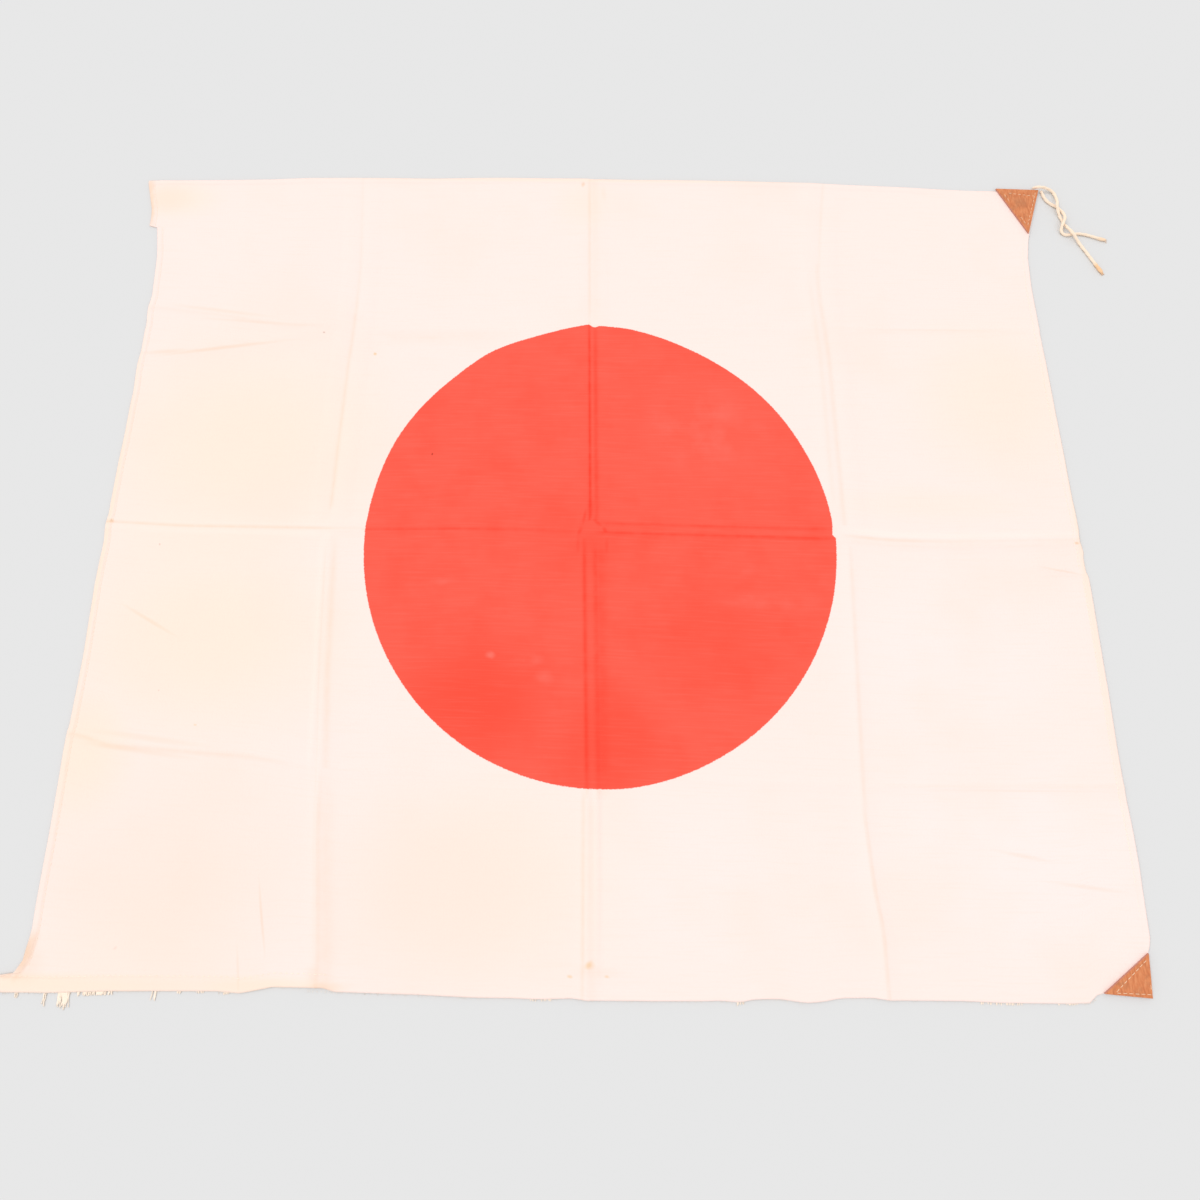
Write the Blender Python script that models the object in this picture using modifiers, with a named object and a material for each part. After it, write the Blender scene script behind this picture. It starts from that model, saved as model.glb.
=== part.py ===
"""Open cotton flag lying flat, with two leather corner patches and a two-strand string tie.

The cloth is one uneven sheet with narrow hems and the creases of old folding: three
lines across and three lines down. +X runs along the flag's long side, +Y towards its
top edge and +Z up. The origin is under the middle of the sheet.
"""

import bmesh
import bpy
from mathutils import Vector

MM = 0.001
COLLECTION_NAME = "flag"

# Sheet, in millimetres
CLOTH_THICK = 1.0
HEM_THICK = 1.8
SIDE_HEM = 4.0
BOTTOM_HEM = 9.5
TOP_HEM = 5.0
HEM_STEP = 2.0
HEM_FADE = 60.0

# Plain grid positions of the edges and creases, in millimetres
COLUMN_LINES = (-412.0, -214.0, 0.0, 214.0, 412.0)
ROW_LINES = (-346.0, -190.0, 0.0, 190.0, 346.0)

# Outline: the left and right edges as (y, x), the bottom and top edges as (x, y)
LEFT_EDGE = (
    (-347, -428), (-337, -428), (-335, -414), (-330, -409), (-320, -406), (-312, -404.5),
    (-299, -405), (-250, -405.5), (-240, -404.6), (-200, -404.8), (-180, -406.5), (-163, -402.3),
    (-150, -403.5), (-127, -404.8), (-66, -405.8), (4, -405.6), (20, -406), (59, -406),
    (90, -405.4), (110, -404.6), (148, -405.2), (168, -402.2), (190, -403.5), (215, -403.6),
    (240, -405.8), (259, -407), (287, -411.5), (289, -419), (300, -419.5), (320, -422.5),
    (343, -428),
)
RIGHT_EDGE = (
    (-344, 408), (-318, 410.5), (-307, 415), (-230, 415.5), (-192, 414.3), (-120, 415.2),
    (-60, 415.4), (-42, 417), (-38, 417), (-34, 413), (-10, 411.8), (20, 412), (66, 411),
    (156, 409), (185, 407.6), (200, 408), (235, 407), (268, 408), (288, 411), (293, 412),
    (341, 426),
)
BOTTOM_EDGE = (
    (-428, -347), (-375, -347), (-305, -345), (-261, -346), (-240, -342), (-208, -342),
    (-198, -344.5), (-132, -346), (-88, -348), (84, -349), (127, -347), (228, -346.5),
    (300, -348), (350, -348), (376, -344), (410, -343),
)
TOP_EDGE = (
    (-429, 341.8), (-331, 344.6), (-264, 347), (-187, 347.8), (-3, 348.8), (103, 348.2),
    (221, 345.8), (261, 343.5), (296, 341.8), (352, 339.2), (427, 338.2),
)

# Creases down the sheet as (y, x, height), and across it as (x, y, height)
LEFT_FOLD = (
    (-344, -193, 1.4), (-320, -194, 2.6), (-236, -203, 3.2), (-179, -206, 3.2), (-125, -211, 3.0),
    (-11, -217, 2.6), (12, -219, 1.8), (151, -217, 1.8), (201, -215, 2.0), (257, -215, 1.8),
    (322, -220, 1.4), (346, -222, 0.8),
)
CENTRE_FOLD = (
    (-349, 3, 1.2), (-339, 3, 2.0), (-206, 2, 2.2), (-8, -3, 2.0), (9, 2, 1.8), (192, -1, 1.8),
    (350, -3, 1.0),
)
RIGHT_FOLD = (
    (-347, 219, 1.4), (-297, 219, 2.8), (-270, 215, 2.8), (-200, 211, 2.2), (-100, 214, 1.8),
    (6, 217, 1.8), (165, 215, 1.8), (207, 212, 2.0), (242, 210, 2.0), (290, 214, 1.6),
    (347, 221, 0.8),
)
LOWER_FOLD = (
    (-402, -166, 1.6), (-383, -174, 1.6), (-341, -177, 1.6), (-270, -182, 1.4), (-198, -193, 1.0),
    (-121, -193, 1.0), (234, -202, 1.4), (414, -201, 1.4),
)
MIDDLE_FOLD = (
    (-406, 4, 1.8), (-345, 1, 2.0), (-214, 0, 2.2), (-92, 2, 1.4), (9, 0, 1.8), (206, -4, 2.2),
    (250, -8, 2.2), (303, -9, 2.4), (410, -6, 1.6),
)
UPPER_FOLD = (
    (-402, 207, 1.6), (-329, 198, 1.6), (-281, 190, 1.8), (-241, 191, 1.4), (-209, 184, 1.0),
    (0, 187, 1.0), (399, 191, 1.2),
)

# Reach of each crease on either side of its line, in millimetres
LEFT_REACH = (12.0, 24.0)
RIGHT_REACH = (14.0, 14.0)
CENTRE_REACH = (12.0, 12.0)
SHOULDER_REACH = 18.0
CROSSING_HALF = 10.0
MIDDLE_TOP_HALF = 3.5
MIDDLE_REACH = 12.0
CROSS_REACH = (10.0, 10.0)
CROSSING_SHARE = 0.3

# Grid lines beside each crease, counted from its line, in millimetres
LEFT_STEPS = (-SHOULDER_REACH, -LEFT_REACH[0], -6.0, 0.0, 6.0, 12.0, SHOULDER_REACH, LEFT_REACH[1])
CENTRE_STEPS = (-SHOULDER_REACH, -12.0, -6.0, 0.0, 6.0, 12.0, SHOULDER_REACH)
RIGHT_STEPS = (-SHOULDER_REACH, -RIGHT_REACH[0], -7.0, 0.0, 7.0, RIGHT_REACH[1], SHOULDER_REACH)
CROSS_STEPS = (-CROSS_REACH[0], -4.0, 0.0, 4.0, CROSS_REACH[1])
MIDDLE_STEPS = (
    -38.0, -33.0, -MIDDLE_REACH, -7.0, -MIDDLE_TOP_HALF, MIDDLE_TOP_HALF, 7.0, MIDDLE_REACH,
)

# Grid lines in from the plain edges, at the hems, patches and pulled corners, in millimetres
LEFT_INSETS = (0.0, SIDE_HEM, SIDE_HEM + HEM_STEP)
RIGHT_INSETS = (32.0, SIDE_HEM + HEM_STEP, SIDE_HEM, 0.0)
BOTTOM_INSETS = (0.0, BOTTOM_HEM, BOTTOM_HEM + HEM_STEP, 20.0, 31.0)
TOP_INSETS = (78.0, 59.0, 55.0, TOP_HEM + HEM_STEP, TOP_HEM, 0.0)

# Low swells of the sixteen panels between creases, bottom row first, in millimetres
PANEL_SWELL = (
    (0.0, 0.8, 0.0, 1.0),
    (1.2, 0.0, 0.0, 0.0),
    (0.8, 0.0, 0.0, 0.9),
    (1.0, 0.0, 0.8, 0.6),
)

# Leather patches: corners in order, in millimetres
TOP_PATCH = ((386.1, 340.1), (410.8, 290.9), (426.9, 338.9))
BOTTOM_PATCH = ((374.4, -340.7), (408.5, -343.4), (410.9, -314.3))
LEATHER_THICK = 1.6
LEATHER_EDGE = 0.35
SEAT_GAP = 0.3

# Tie strands: hand-laid routes as (x, y, height of the middle), in millimetres
STRING_DIAMETER = 2.6
STRING_LOW = 1.32
STRING_HIGH = 4.4
STRING_OVER_PATCH = 4.7
STRAND_A = (
    (422.3, 342.0, 1.4), (425.5, 340.5, STRING_OVER_PATCH), (430.4, 340.2, STRING_OVER_PATCH),
    (435.1, 339.8, 3.3), (439.6, 338.3, 2.0), (442.2, 334.3, 1.7), (442.3, 329.4, 2.7),
    (441.5, 324.7, STRING_HIGH), (440.8, 319.9, STRING_HIGH), (441.8, 315.2, 3.0),
    (443.4, 310.8, 1.5), (445.0, 306.2, STRING_LOW), (446.5, 301.5, 1.5), (447.9, 297.0, 3.0),
    (449.6, 292.5, STRING_HIGH), (451.9, 288.2, STRING_HIGH), (454.9, 284.5, 2.7),
    (457.6, 280.6, 1.5), (460.0, 276.2, STRING_LOW), (462.3, 271.9, STRING_LOW),
    (464.5, 267.5, STRING_LOW), (466.8, 263.1, STRING_LOW), (469.0, 258.7, STRING_LOW),
    (471.3, 254.3, STRING_LOW), (473.6, 249.9, STRING_LOW),
)
STRAND_B = (
    (430.0, 338.7, STRING_LOW), (430.9, 334.4, STRING_LOW), (432.3, 330.3, STRING_LOW),
    (434.6, 326.6, STRING_LOW), (437.8, 323.7, STRING_LOW), (441.4, 321.3, STRING_LOW),
    (444.6, 318.3, STRING_LOW), (446.4, 314.5, 2.1), (446.8, 310.3, 3.3),
    (446.0, 306.1, STRING_HIGH), (444.2, 302.2, STRING_HIGH), (442.5, 298.3, 3.7),
    (442.2, 294.2, 2.0), (444.4, 290.8, STRING_LOW), (448.6, 290.3, STRING_LOW),
    (452.9, 291.2, STRING_LOW), (457.2, 291.6, STRING_LOW), (461.6, 291.3, STRING_LOW),
    (465.8, 290.4, STRING_LOW), (470.0, 289.0, STRING_LOW), (474.1, 287.6, STRING_LOW),
    (478.2, 286.2, STRING_LOW), (482.4, 285.0, STRING_LOW),
)
STRAND_STEPS = 2

# Finishes: colour, roughness
COTTON = ((1.0, 0.87, 0.79), 0.9)
LEATHER = ((0.67, 0.22, 0.09), 0.6)
STRING = ((1.0, 0.80, 0.62), 0.85)


def finish(name, look):
    """Makes one plain material from a colour and a roughness."""
    colour, roughness = look
    material = bpy.data.materials.new(name)
    material.use_nodes = True
    shader = material.node_tree.nodes["Principled BSDF"]
    shader.inputs["Base Color"].default_value = (*colour, 1.0)
    shader.inputs["Roughness"].default_value = roughness
    shader.inputs["Metallic"].default_value = 0.0
    return material


def between(points, at, item):
    """Reads one column of a list of points at a place along it."""
    if at <= points[0][0]:
        return float(points[0][item])
    for first, second in zip(points, points[1:]):
        if at <= second[0]:
            share = (at - first[0]) / (second[0] - first[0])
            return first[item] + (second[item] - first[item]) * share
    return float(points[-1][item])


def guided(lines, guides, place, along):
    """Moves a plain grid position onto the edges and creases on either side of it."""
    for index in range(len(lines) - 1):
        if place <= lines[index + 1] or index == len(lines) - 2:
            low = between(guides[index], along, 1)
            high = between(guides[index + 1], along, 1)
            share = (place - lines[index]) / (lines[index + 1] - lines[index])
            return low + (high - low) * share
    return place


def ridge(offset, height, reach):
    """Height of a crease that stands up sharply along its line."""
    side = reach[0] if offset < 0.0 else reach[1]
    share = min(abs(offset) / side, 1.0)
    return height * (1.0 - share) ** 2


def shoulders(offset, height):
    """Height of a crease pressed down along its line, with a low swell on each side."""
    share = min(abs(offset) / SHOULDER_REACH, 1.0)
    return height * 4.0 * share * (1.0 - share)


def upright_height(offset, row, height, reach):
    """Height of a crease down the sheet, pressed in above the middle crease and standing below it."""
    share = min(max((row + CROSSING_HALF) / (2.0 * CROSSING_HALF), 0.0), 1.0)
    return shoulders(offset, height) * share + ridge(offset, height, reach) * (1.0 - share)


def middle_height(offset, height):
    """Height of the middle crease, a narrow ridge with a flat top between two lines."""
    share = (abs(offset) - MIDDLE_TOP_HALF) / (MIDDLE_REACH - MIDDLE_TOP_HALF)
    share = min(max(share, 0.0), 1.0)
    return height * (1.0 - share) ** 2


def swell(column, row):
    """Height of a panel's low swell, nought at the panel's four creases."""
    for across in range(len(COLUMN_LINES) - 1):
        if column <= COLUMN_LINES[across + 1]:
            break
    for up in range(len(ROW_LINES) - 1):
        if row <= ROW_LINES[up + 1]:
            break
    width = COLUMN_LINES[across + 1] - COLUMN_LINES[across]
    height = ROW_LINES[up + 1] - ROW_LINES[up]
    side = (column - COLUMN_LINES[across]) / width
    rise = (row - ROW_LINES[up]) / height
    return PANEL_SWELL[up][across] * (4.0 * side * (1.0 - side) * 4.0 * rise * (1.0 - rise)) ** 2


def sheet_height(column, row):
    """Height of the sheet's underside over the surface that it lies on."""
    down = max(
        upright_height(column - COLUMN_LINES[1], row, between(LEFT_FOLD, row, 2), LEFT_REACH),
        upright_height(column - COLUMN_LINES[2], row, between(CENTRE_FOLD, row, 2), CENTRE_REACH),
        upright_height(column - COLUMN_LINES[3], row, between(RIGHT_FOLD, row, 2), RIGHT_REACH),
    )
    across = max(
        ridge(row - ROW_LINES[1], between(LOWER_FOLD, column, 2), CROSS_REACH),
        middle_height(row, between(MIDDLE_FOLD, column, 2)),
        ridge(row - ROW_LINES[3], between(UPPER_FOLD, column, 2), CROSS_REACH),
    )
    return max(down, across) + CROSSING_SHARE * min(down, across) + swell(column, row)


def hem_share(column, row):
    """Share of the hem's extra thickness, fading out towards the two patched corners."""
    from_left = column - COLUMN_LINES[0]
    from_right = COLUMN_LINES[-1] - column
    from_bottom = row - ROW_LINES[0]
    from_top = ROW_LINES[-1] - row
    hemmed = (
        from_left <= SIDE_HEM
        or from_right <= SIDE_HEM
        or from_bottom <= BOTTOM_HEM
        or from_top <= TOP_HEM
    )
    corner = from_right + min(from_bottom, from_top)
    fade = min(max((corner - HEM_FADE) / HEM_FADE, 0.0), 1.0)
    return fade if hemmed else 0.0


def spread(groups, fills):
    """Joins groups of grid lines, with a number of even lines in each space between them."""
    lines = list(groups[0])
    for group, count in zip(groups[1:], fills):
        start = lines[-1]
        lines += [start + (group[0] - start) * step / (count + 1) for step in range(1, count + 1)]
        lines += group
    return lines


def grid_columns():
    """Plain positions of the grid's columns, close together at the hems and creases."""
    left, first, centre, third, right = COLUMN_LINES
    groups = (
        [left + inset for inset in LEFT_INSETS],
        [first + step for step in LEFT_STEPS],
        [centre + step for step in CENTRE_STEPS],
        [third + step for step in RIGHT_STEPS],
        [right - inset for inset in RIGHT_INSETS],
    )
    return spread(groups, (3, 2, 2, 3))


def grid_rows():
    """Plain positions of the grid's rows, close together at the hems and creases."""
    bottom, lower, middle, upper, top = ROW_LINES
    groups = (
        [bottom + inset for inset in BOTTOM_INSETS],
        [lower + step for step in CROSS_STEPS],
        [middle + step for step in MIDDLE_STEPS],
        [upper + step for step in CROSS_STEPS],
        [top - inset for inset in TOP_INSETS],
    )
    return spread(groups, (2, 2, 3, 1))


def add_object(name, data, material, collection):
    """Puts new data into the scene as a named object with its finish."""
    data.materials.append(material)
    item = bpy.data.objects.new(name, data)
    collection.objects.link(item)
    return item


def build_cloth(material, collection):
    """Builds the sheet from a grid laid along its edges and creases, then thickened."""
    columns = grid_columns()
    rows = grid_rows()
    down_guides = (LEFT_EDGE, LEFT_FOLD, CENTRE_FOLD, RIGHT_FOLD, RIGHT_EDGE)
    across_guides = (BOTTOM_EDGE, LOWER_FOLD, MIDDLE_FOLD, UPPER_FOLD, TOP_EDGE)
    mesh = bpy.data.meshes.new("flag_cloth")
    work = bmesh.new()
    bmesh.ops.create_grid(work, x_segments=len(columns) - 1, y_segments=len(rows) - 1, size=1.0)
    shares = []
    for vertex in work.verts:
        column = columns[round((vertex.co.x + 1.0) * 0.5 * (len(columns) - 1))]
        row = rows[round((vertex.co.y + 1.0) * 0.5 * (len(rows) - 1))]
        x = guided(COLUMN_LINES, down_guides, column, row)
        y = guided(ROW_LINES, across_guides, row, column)
        vertex.co = Vector((x, y, sheet_height(column, row))) * MM
        shares.append(hem_share(column, row))
    work.to_mesh(mesh)
    work.free()
    cloth = add_object("flag_cloth", mesh, material, collection)
    hem = cloth.vertex_groups.new(name="hem")
    for index, share in enumerate(shares):
        hem.add([index], share, "REPLACE")
    solidify = cloth.modifiers.new("Thickness", "SOLIDIFY")
    solidify.thickness = HEM_THICK * MM
    solidify.offset = 1.0
    solidify.vertex_group = hem.name
    solidify.thickness_vertex_group = CLOTH_THICK / HEM_THICK
    return cloth


def build_patch(name, corners, material, collection):
    """Builds a three-cornered leather patch seated just above the cloth, its edges eased."""
    curve = bpy.data.curves.new(name + "_outline", "CURVE")
    curve.dimensions = "2D"
    curve.fill_mode = "BOTH"
    curve.extrude = LEATHER_THICK * 0.5 * MM
    spline = curve.splines.new("POLY")
    spline.points.add(len(corners) - 1)
    for point, corner in zip(spline.points, corners):
        point.co = (corner[0] * MM, corner[1] * MM, 0.0, 1.0)
    spline.use_cyclic_u = True
    guide = bpy.data.objects.new(name + "_outline", curve)
    collection.objects.link(guide)
    bpy.context.view_layer.update()
    graph = bpy.context.evaluated_depsgraph_get()
    mesh = bpy.data.meshes.new_from_object(guide.evaluated_get(graph))
    bpy.data.objects.remove(guide)
    work = bmesh.new()
    work.from_mesh(mesh)
    bmesh.ops.remove_doubles(work, verts=work.verts, dist=0.00001)
    bmesh.ops.dissolve_limit(work, angle_limit=0.01, verts=work.verts, edges=work.edges)
    work.to_mesh(mesh)
    work.free()
    mesh.materials.clear()
    patch = add_object(name, mesh, material, collection)
    patch.location.z = (CLOTH_THICK + SEAT_GAP + LEATHER_THICK * 0.5) * MM
    bevel = patch.modifiers.new("Eased edge", "BEVEL")
    bevel.width = LEATHER_EDGE * MM
    bevel.segments = 2
    return patch


def smooth_route(points):
    """Reads points from the smooth curve that passes through a hand-laid route."""
    ends = [points[0], *points, points[-1]]
    route = []
    for first, start, end, last in zip(ends, ends[1:], ends[2:], ends[3:]):
        for step in range(STRAND_STEPS):
            at = step / STRAND_STEPS
            route.append(tuple(
                0.5 * (
                    2.0 * b
                    + (c - a) * at
                    + (2.0 * a - 5.0 * b + 4.0 * c - d) * at ** 2
                    + (3.0 * b - a - 3.0 * c + d) * at ** 3
                )
                for a, b, c, d in zip(first, start, end, last)
            ))
    route.append(tuple(points[-1]))
    return route


def build_strand(name, points, material, collection):
    """Builds one string strand as a round tube along its route."""
    route = smooth_route(points)
    curve = bpy.data.curves.new(name, "CURVE")
    curve.dimensions = "3D"
    curve.bevel_depth = STRING_DIAMETER * 0.5 * MM
    curve.bevel_resolution = 2
    curve.use_fill_caps = True
    spline = curve.splines.new("POLY")
    spline.points.add(len(route) - 1)
    for point, place in zip(spline.points, route):
        height = max(place[2], STRING_LOW)
        point.co = (place[0] * MM, place[1] * MM, height * MM, 1.0)
    return add_object(name, curve, material, collection)


def main():
    """Clears the scene and builds the flag's pieces."""
    for item in list(bpy.data.objects):
        bpy.data.objects.remove(item)
    collection = bpy.data.collections.new(COLLECTION_NAME)
    bpy.context.scene.collection.children.link(collection)
    cotton = finish("cotton cloth", COTTON)
    leather = finish("brown leather", LEATHER)
    string = finish("cotton string", STRING)
    build_cloth(cotton, collection)
    build_patch("leather_patch_top", TOP_PATCH, leather, collection)
    build_patch("leather_patch_bottom", BOTTOM_PATCH, leather, collection)
    build_strand("tie_strand_a", STRAND_A, string, collection)
    build_strand("tie_strand_b", STRAND_B, string, collection)


main()
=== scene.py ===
"""Dresses the open cotton flag: woven sheet, hems, leather corners, string tie and studio.

All sizes are in millimetres in the classes below and become metres where a mesh is made.
+X runs along the flag's long side, +Y towards the top edge with the tie, +Z up.
"""

import logging
import math
import random
from dataclasses import dataclass, field
from enum import Enum

import bpy
import numpy as np
from bpy.types import Material, Node, NodeSocket, NodeTree, Object
from mathutils import Matrix, Vector, noise


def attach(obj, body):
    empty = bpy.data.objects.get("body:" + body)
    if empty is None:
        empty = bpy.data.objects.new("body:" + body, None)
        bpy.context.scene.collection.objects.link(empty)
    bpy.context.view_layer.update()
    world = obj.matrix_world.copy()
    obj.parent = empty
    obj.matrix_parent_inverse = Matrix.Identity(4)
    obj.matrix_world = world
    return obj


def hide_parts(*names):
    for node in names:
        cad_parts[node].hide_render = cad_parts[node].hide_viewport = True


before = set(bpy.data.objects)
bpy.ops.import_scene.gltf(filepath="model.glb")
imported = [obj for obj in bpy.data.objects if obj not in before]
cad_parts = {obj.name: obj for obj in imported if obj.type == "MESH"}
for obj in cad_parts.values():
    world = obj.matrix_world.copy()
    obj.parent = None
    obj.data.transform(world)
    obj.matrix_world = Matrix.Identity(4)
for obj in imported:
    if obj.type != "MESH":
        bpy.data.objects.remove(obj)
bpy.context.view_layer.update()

MM = 0.001
BODY = "root"
LOG = logging.getLogger("flag")

Line = tuple[tuple[float, float], ...]
Tube = tuple[np.ndarray, list[tuple[int, ...]]]


def linear(code: str) -> tuple[float, float, float, float]:
    """Turns an sRGB hex colour into linear values.

    Args:
        code: Six hex digits after a hash sign.

    Returns:
        Red, green, blue and full alpha for a node socket.
    """
    parts = [int(code[at:at + 2], 16) / 255.0 for at in (1, 3, 5)]
    lit = [part / 12.92 if part <= 0.04045 else ((part + 0.055) / 1.055) ** 2.4 for part in parts]
    return (lit[0], lit[1], lit[2], 1.0)


def plug(tree: NodeTree, node: Node, links: dict) -> Node:
    """Links or sets inputs of a node.

    Args:
        tree: Tree that holds the node.
        node: The node.
        links: Input names or numbers, each with a socket to link or a value to set.

    Returns:
        The same node.
    """
    for name, value in links.items():
        if isinstance(value, NodeSocket):
            tree.links.new(value, node.inputs[name])
        else:
            node.inputs[name].default_value = value
    return node


def add_node(tree: NodeTree, kind: str, links: dict | None = None, **settings: object) -> Node:
    """Adds one shader node.

    Args:
        tree: Tree that gets the node.
        kind: Blender's name for its type, less the ShaderNode in front.
        links: Inputs to link or set, as plug takes them.
        **settings: Properties of the node itself.

    Returns:
        The new node.
    """
    node = tree.nodes.new("ShaderNode" + kind)
    for name, value in settings.items():
        setattr(node, name, value)
    return plug(tree, node, links or {})


def maths(tree: NodeTree, operation: str, *values: object, **settings: object) -> NodeSocket:
    """Adds a Math node on sockets or numbers and returns its result."""
    return add_node(tree, "Math", dict(enumerate(values)), operation=operation, **settings).outputs[0]


def lay(tree: NodeTree, under: object, *layers: tuple[str, NodeSocket], blend: str = "MIX") -> NodeSocket:
    """Lays colours over another, one after the other.

    Args:
        tree: Tree of the material.
        under: Colour below them, a socket or linear values.
        *layers: Each layer's hex colour and how much of it shows.
        blend: Blender's name for the way of mixing.

    Returns:
        The mixed colour.
    """
    for colour, share in layers:
        links = {0: share, 6: under, 7: linear(colour)}
        under = add_node(tree, "Mix", links, data_type="RGBA", blend_type=blend).outputs[2]
    return under


def new_tree(name: str) -> tuple[Material, NodeTree, NodeSocket]:
    """Makes an empty material.

    Args:
        name: Name of the material.

    Returns:
        The material, its node tree and the position on its object in metres.
    """
    material = bpy.data.materials.new(name)
    material.use_nodes = True
    tree = material.node_tree
    return material, tree, add_node(tree, "TexCoord").outputs["Object"]


def dress(piece: Object, material: Material) -> Object:
    """Gives a smooth piece its finish and the body it rides on.

    Args:
        piece: Finished object with its place in its mesh.
        material: Finish that covers the whole piece.

    Returns:
        The same object.
    """
    piece.data.materials.clear()
    piece.data.materials.append(material)
    piece.data.shade_smooth()
    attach(piece, BODY)
    LOG.info("%s: %d faces", piece.name, len(piece.data.polygons))
    return piece


def mesh_piece(name: str, points: np.ndarray, faces: list[tuple[int, ...]]) -> Object:
    """Makes an object from points and the faces between them.

    Args:
        name: Name of the piece.
        points: One row of three coordinates in millimetres for each point.
        faces: Point numbers of each face.

    Returns:
        The new object, linked to the scene.
    """
    mesh = bpy.data.meshes.new(name)
    mesh.from_pydata([tuple(point) for point in points * MM], [], faces)
    mesh.update()
    piece = bpy.data.objects.new(name, mesh)
    bpy.context.scene.collection.objects.link(piece)
    return piece


def add_values(piece: Object, name: str, values: np.ndarray) -> None:
    """Stores a value or a vector at each point of a piece, for its material to read.

    Args:
        piece: Object that gets the attribute.
        name: Name of the attribute.
        values: One number or one row of three numbers for each point.
    """
    kind, key = ("FLOAT_VECTOR", "vector") if values.ndim > 1 else ("FLOAT", "value")
    piece.data.attributes.new(name, kind, "POINT").data.foreach_set(key, values.ravel())


def off_line(x: np.ndarray, y: np.ndarray, start: tuple, end: tuple) -> tuple[np.ndarray, np.ndarray]:
    """Measures how far places lie from a straight line between two points.

    Args:
        x: Places along the flag's long side.
        y: Places up the flag.
        start: The line's first point.
        end: Its last point.

    Returns:
        The distances, and the share of the line that lies before each place.
    """
    run_x, run_y = end[0] - start[0], end[1] - start[1]
    share = ((x - start[0]) * run_x + (y - start[1]) * run_y) / (run_x ** 2 + run_y ** 2)
    share = np.clip(share, 0.0, 1.0)
    return np.hypot(x - start[0] - run_x * share, y - start[1] - run_y * share), share


def lengths(route: np.ndarray) -> np.ndarray:
    """Returns how far along a route each of its points lies."""
    return np.concatenate([[0.0], np.cumsum(np.linalg.norm(np.diff(route, axis=0), axis=1))])


def tube(
    route: np.ndarray,
    radii: np.ndarray,
    sides: int,
    plies: int = 0,
    depth: float = 0.0,
    pitch: float = 1.0,
) -> Tube:
    """Builds a closed tube along a route, of twisted plies where it has them.

    Args:
        route: Points of the centreline.
        radii: Outer radius at each point.
        sides: Number of points round the tube.
        plies: Number of plies that show round the section.
        depth: Share of the radius that is lost between two plies.
        pitch: Length of one full turn of the plies.

    Returns:
        Its points and its faces.
    """
    ahead = np.gradient(route, axis=0)
    ahead /= np.linalg.norm(ahead, axis=1)[:, None]
    side = np.cross(ahead[0], (0.0, 0.0, 1.0))
    angles = np.arange(sides) * 2.0 * math.pi / sides
    points = []
    for place, direction, radius, along in zip(route, ahead, radii, lengths(route)):
        side = side - direction * np.dot(side, direction)
        side /= np.linalg.norm(side)
        upper = np.cross(side, direction)
        turn = 0.5 * plies * (angles - 2.0 * math.pi * along / pitch)
        reach = radius * (1.0 - depth * (1.0 - np.abs(np.cos(turn))))
        ring = np.outer(np.cos(angles) * reach, side) + np.outer(np.sin(angles) * reach, upper)
        points.append(place + ring)
    last = (len(route) - 1) * sides
    faces = [
        (low + step, low + after, low + sides + after, low + sides + step)
        for low in range(0, last, sides)
        for step, after in zip(range(sides), (*range(1, sides), 0))
    ]
    faces += [tuple(range(sides - 1, -1, -1)), tuple(range(last, last + sides))]
    return np.concatenate(points), faces


def join_tubes(name: str, tubes: list[Tube]) -> Object:
    """Joins many small tubes into one piece.

    Args:
        name: Name of the piece.
        tubes: Points and faces of each tube.

    Returns:
        The joined object.
    """
    faces = []
    count = 0
    for points, tube_faces in tubes:
        faces += [tuple(corner + count for corner in face) for face in tube_faces]
        count += len(points)
    return mesh_piece(name, np.concatenate([points for points, _ in tubes]), faces)


class Weave(Enum):
    """Direction in which a set of threads runs, as the Wave Texture names it."""

    WARP = "X"
    WEFT = "Y"


@dataclass(frozen=True)
class Ramp:
    """How a value that runs from start to end becomes a share from low to high."""

    start: float
    end: float
    high: float = 1.0
    low: float = 0.0

    def of(self, tree: NodeTree, value: NodeSocket, kind: str = "LINEAR") -> NodeSocket:
        """Adds the Map Range node that does it and returns its result."""
        links = {0: value, 1: self.start, 2: self.end, 3: self.low, 4: self.high}
        return add_node(tree, "MapRange", links, interpolation_type=kind).outputs[0]


@dataclass(frozen=True)
class Grain:
    """Noise: the size of its features, its detail and how many times longer they are in X and Y."""

    size: float
    detail: float
    rough: float = 0.5
    longer: tuple[float, float] | None = None

    def on(self, tree: NodeTree, place: NodeSocket) -> Node:
        """Adds the nodes of the noise.

        Args:
            tree: Tree of the material.
            place: Position in metres.

        Returns:
            The Noise Texture node.
        """
        if self.longer:
            scale = (1.0 / self.longer[0], 1.0 / self.longer[1], 0.0)
            place = add_node(tree, "Mapping", {"Vector": place, "Scale": scale}).outputs[0]
        links = {"Vector": place, "Scale": 1.0 / (self.size * MM), "Detail": self.detail}
        return add_node(tree, "TexNoise", links | {"Roughness": self.rough})


@dataclass(frozen=True)
class Surface:
    """How dull a finish is, how much it mirrors and its relief's strength and height."""

    roughness: float
    specular: float
    relief: float
    height: float
    sheen: float = 0.0

    def cover(self, tree: NodeTree, colour: object, relief: NodeSocket) -> None:
        """Gives a material's shader its colour, relief and dullness.

        Args:
            tree: Tree of the material.
            colour: The colour, a socket or linear values.
            relief: The relief, as a share of its height.
        """
        rise = {"Strength": self.relief, "Distance": self.height * MM, "Height": relief}
        plug(tree, tree.nodes["Principled BSDF"], {
            "Base Color": colour,
            "Normal": add_node(tree, "Bump", rise).outputs[0],
            "Roughness": self.roughness,
            "Specular IOR Level": self.specular,
            "Sheen Weight": self.sheen,
        })


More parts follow.
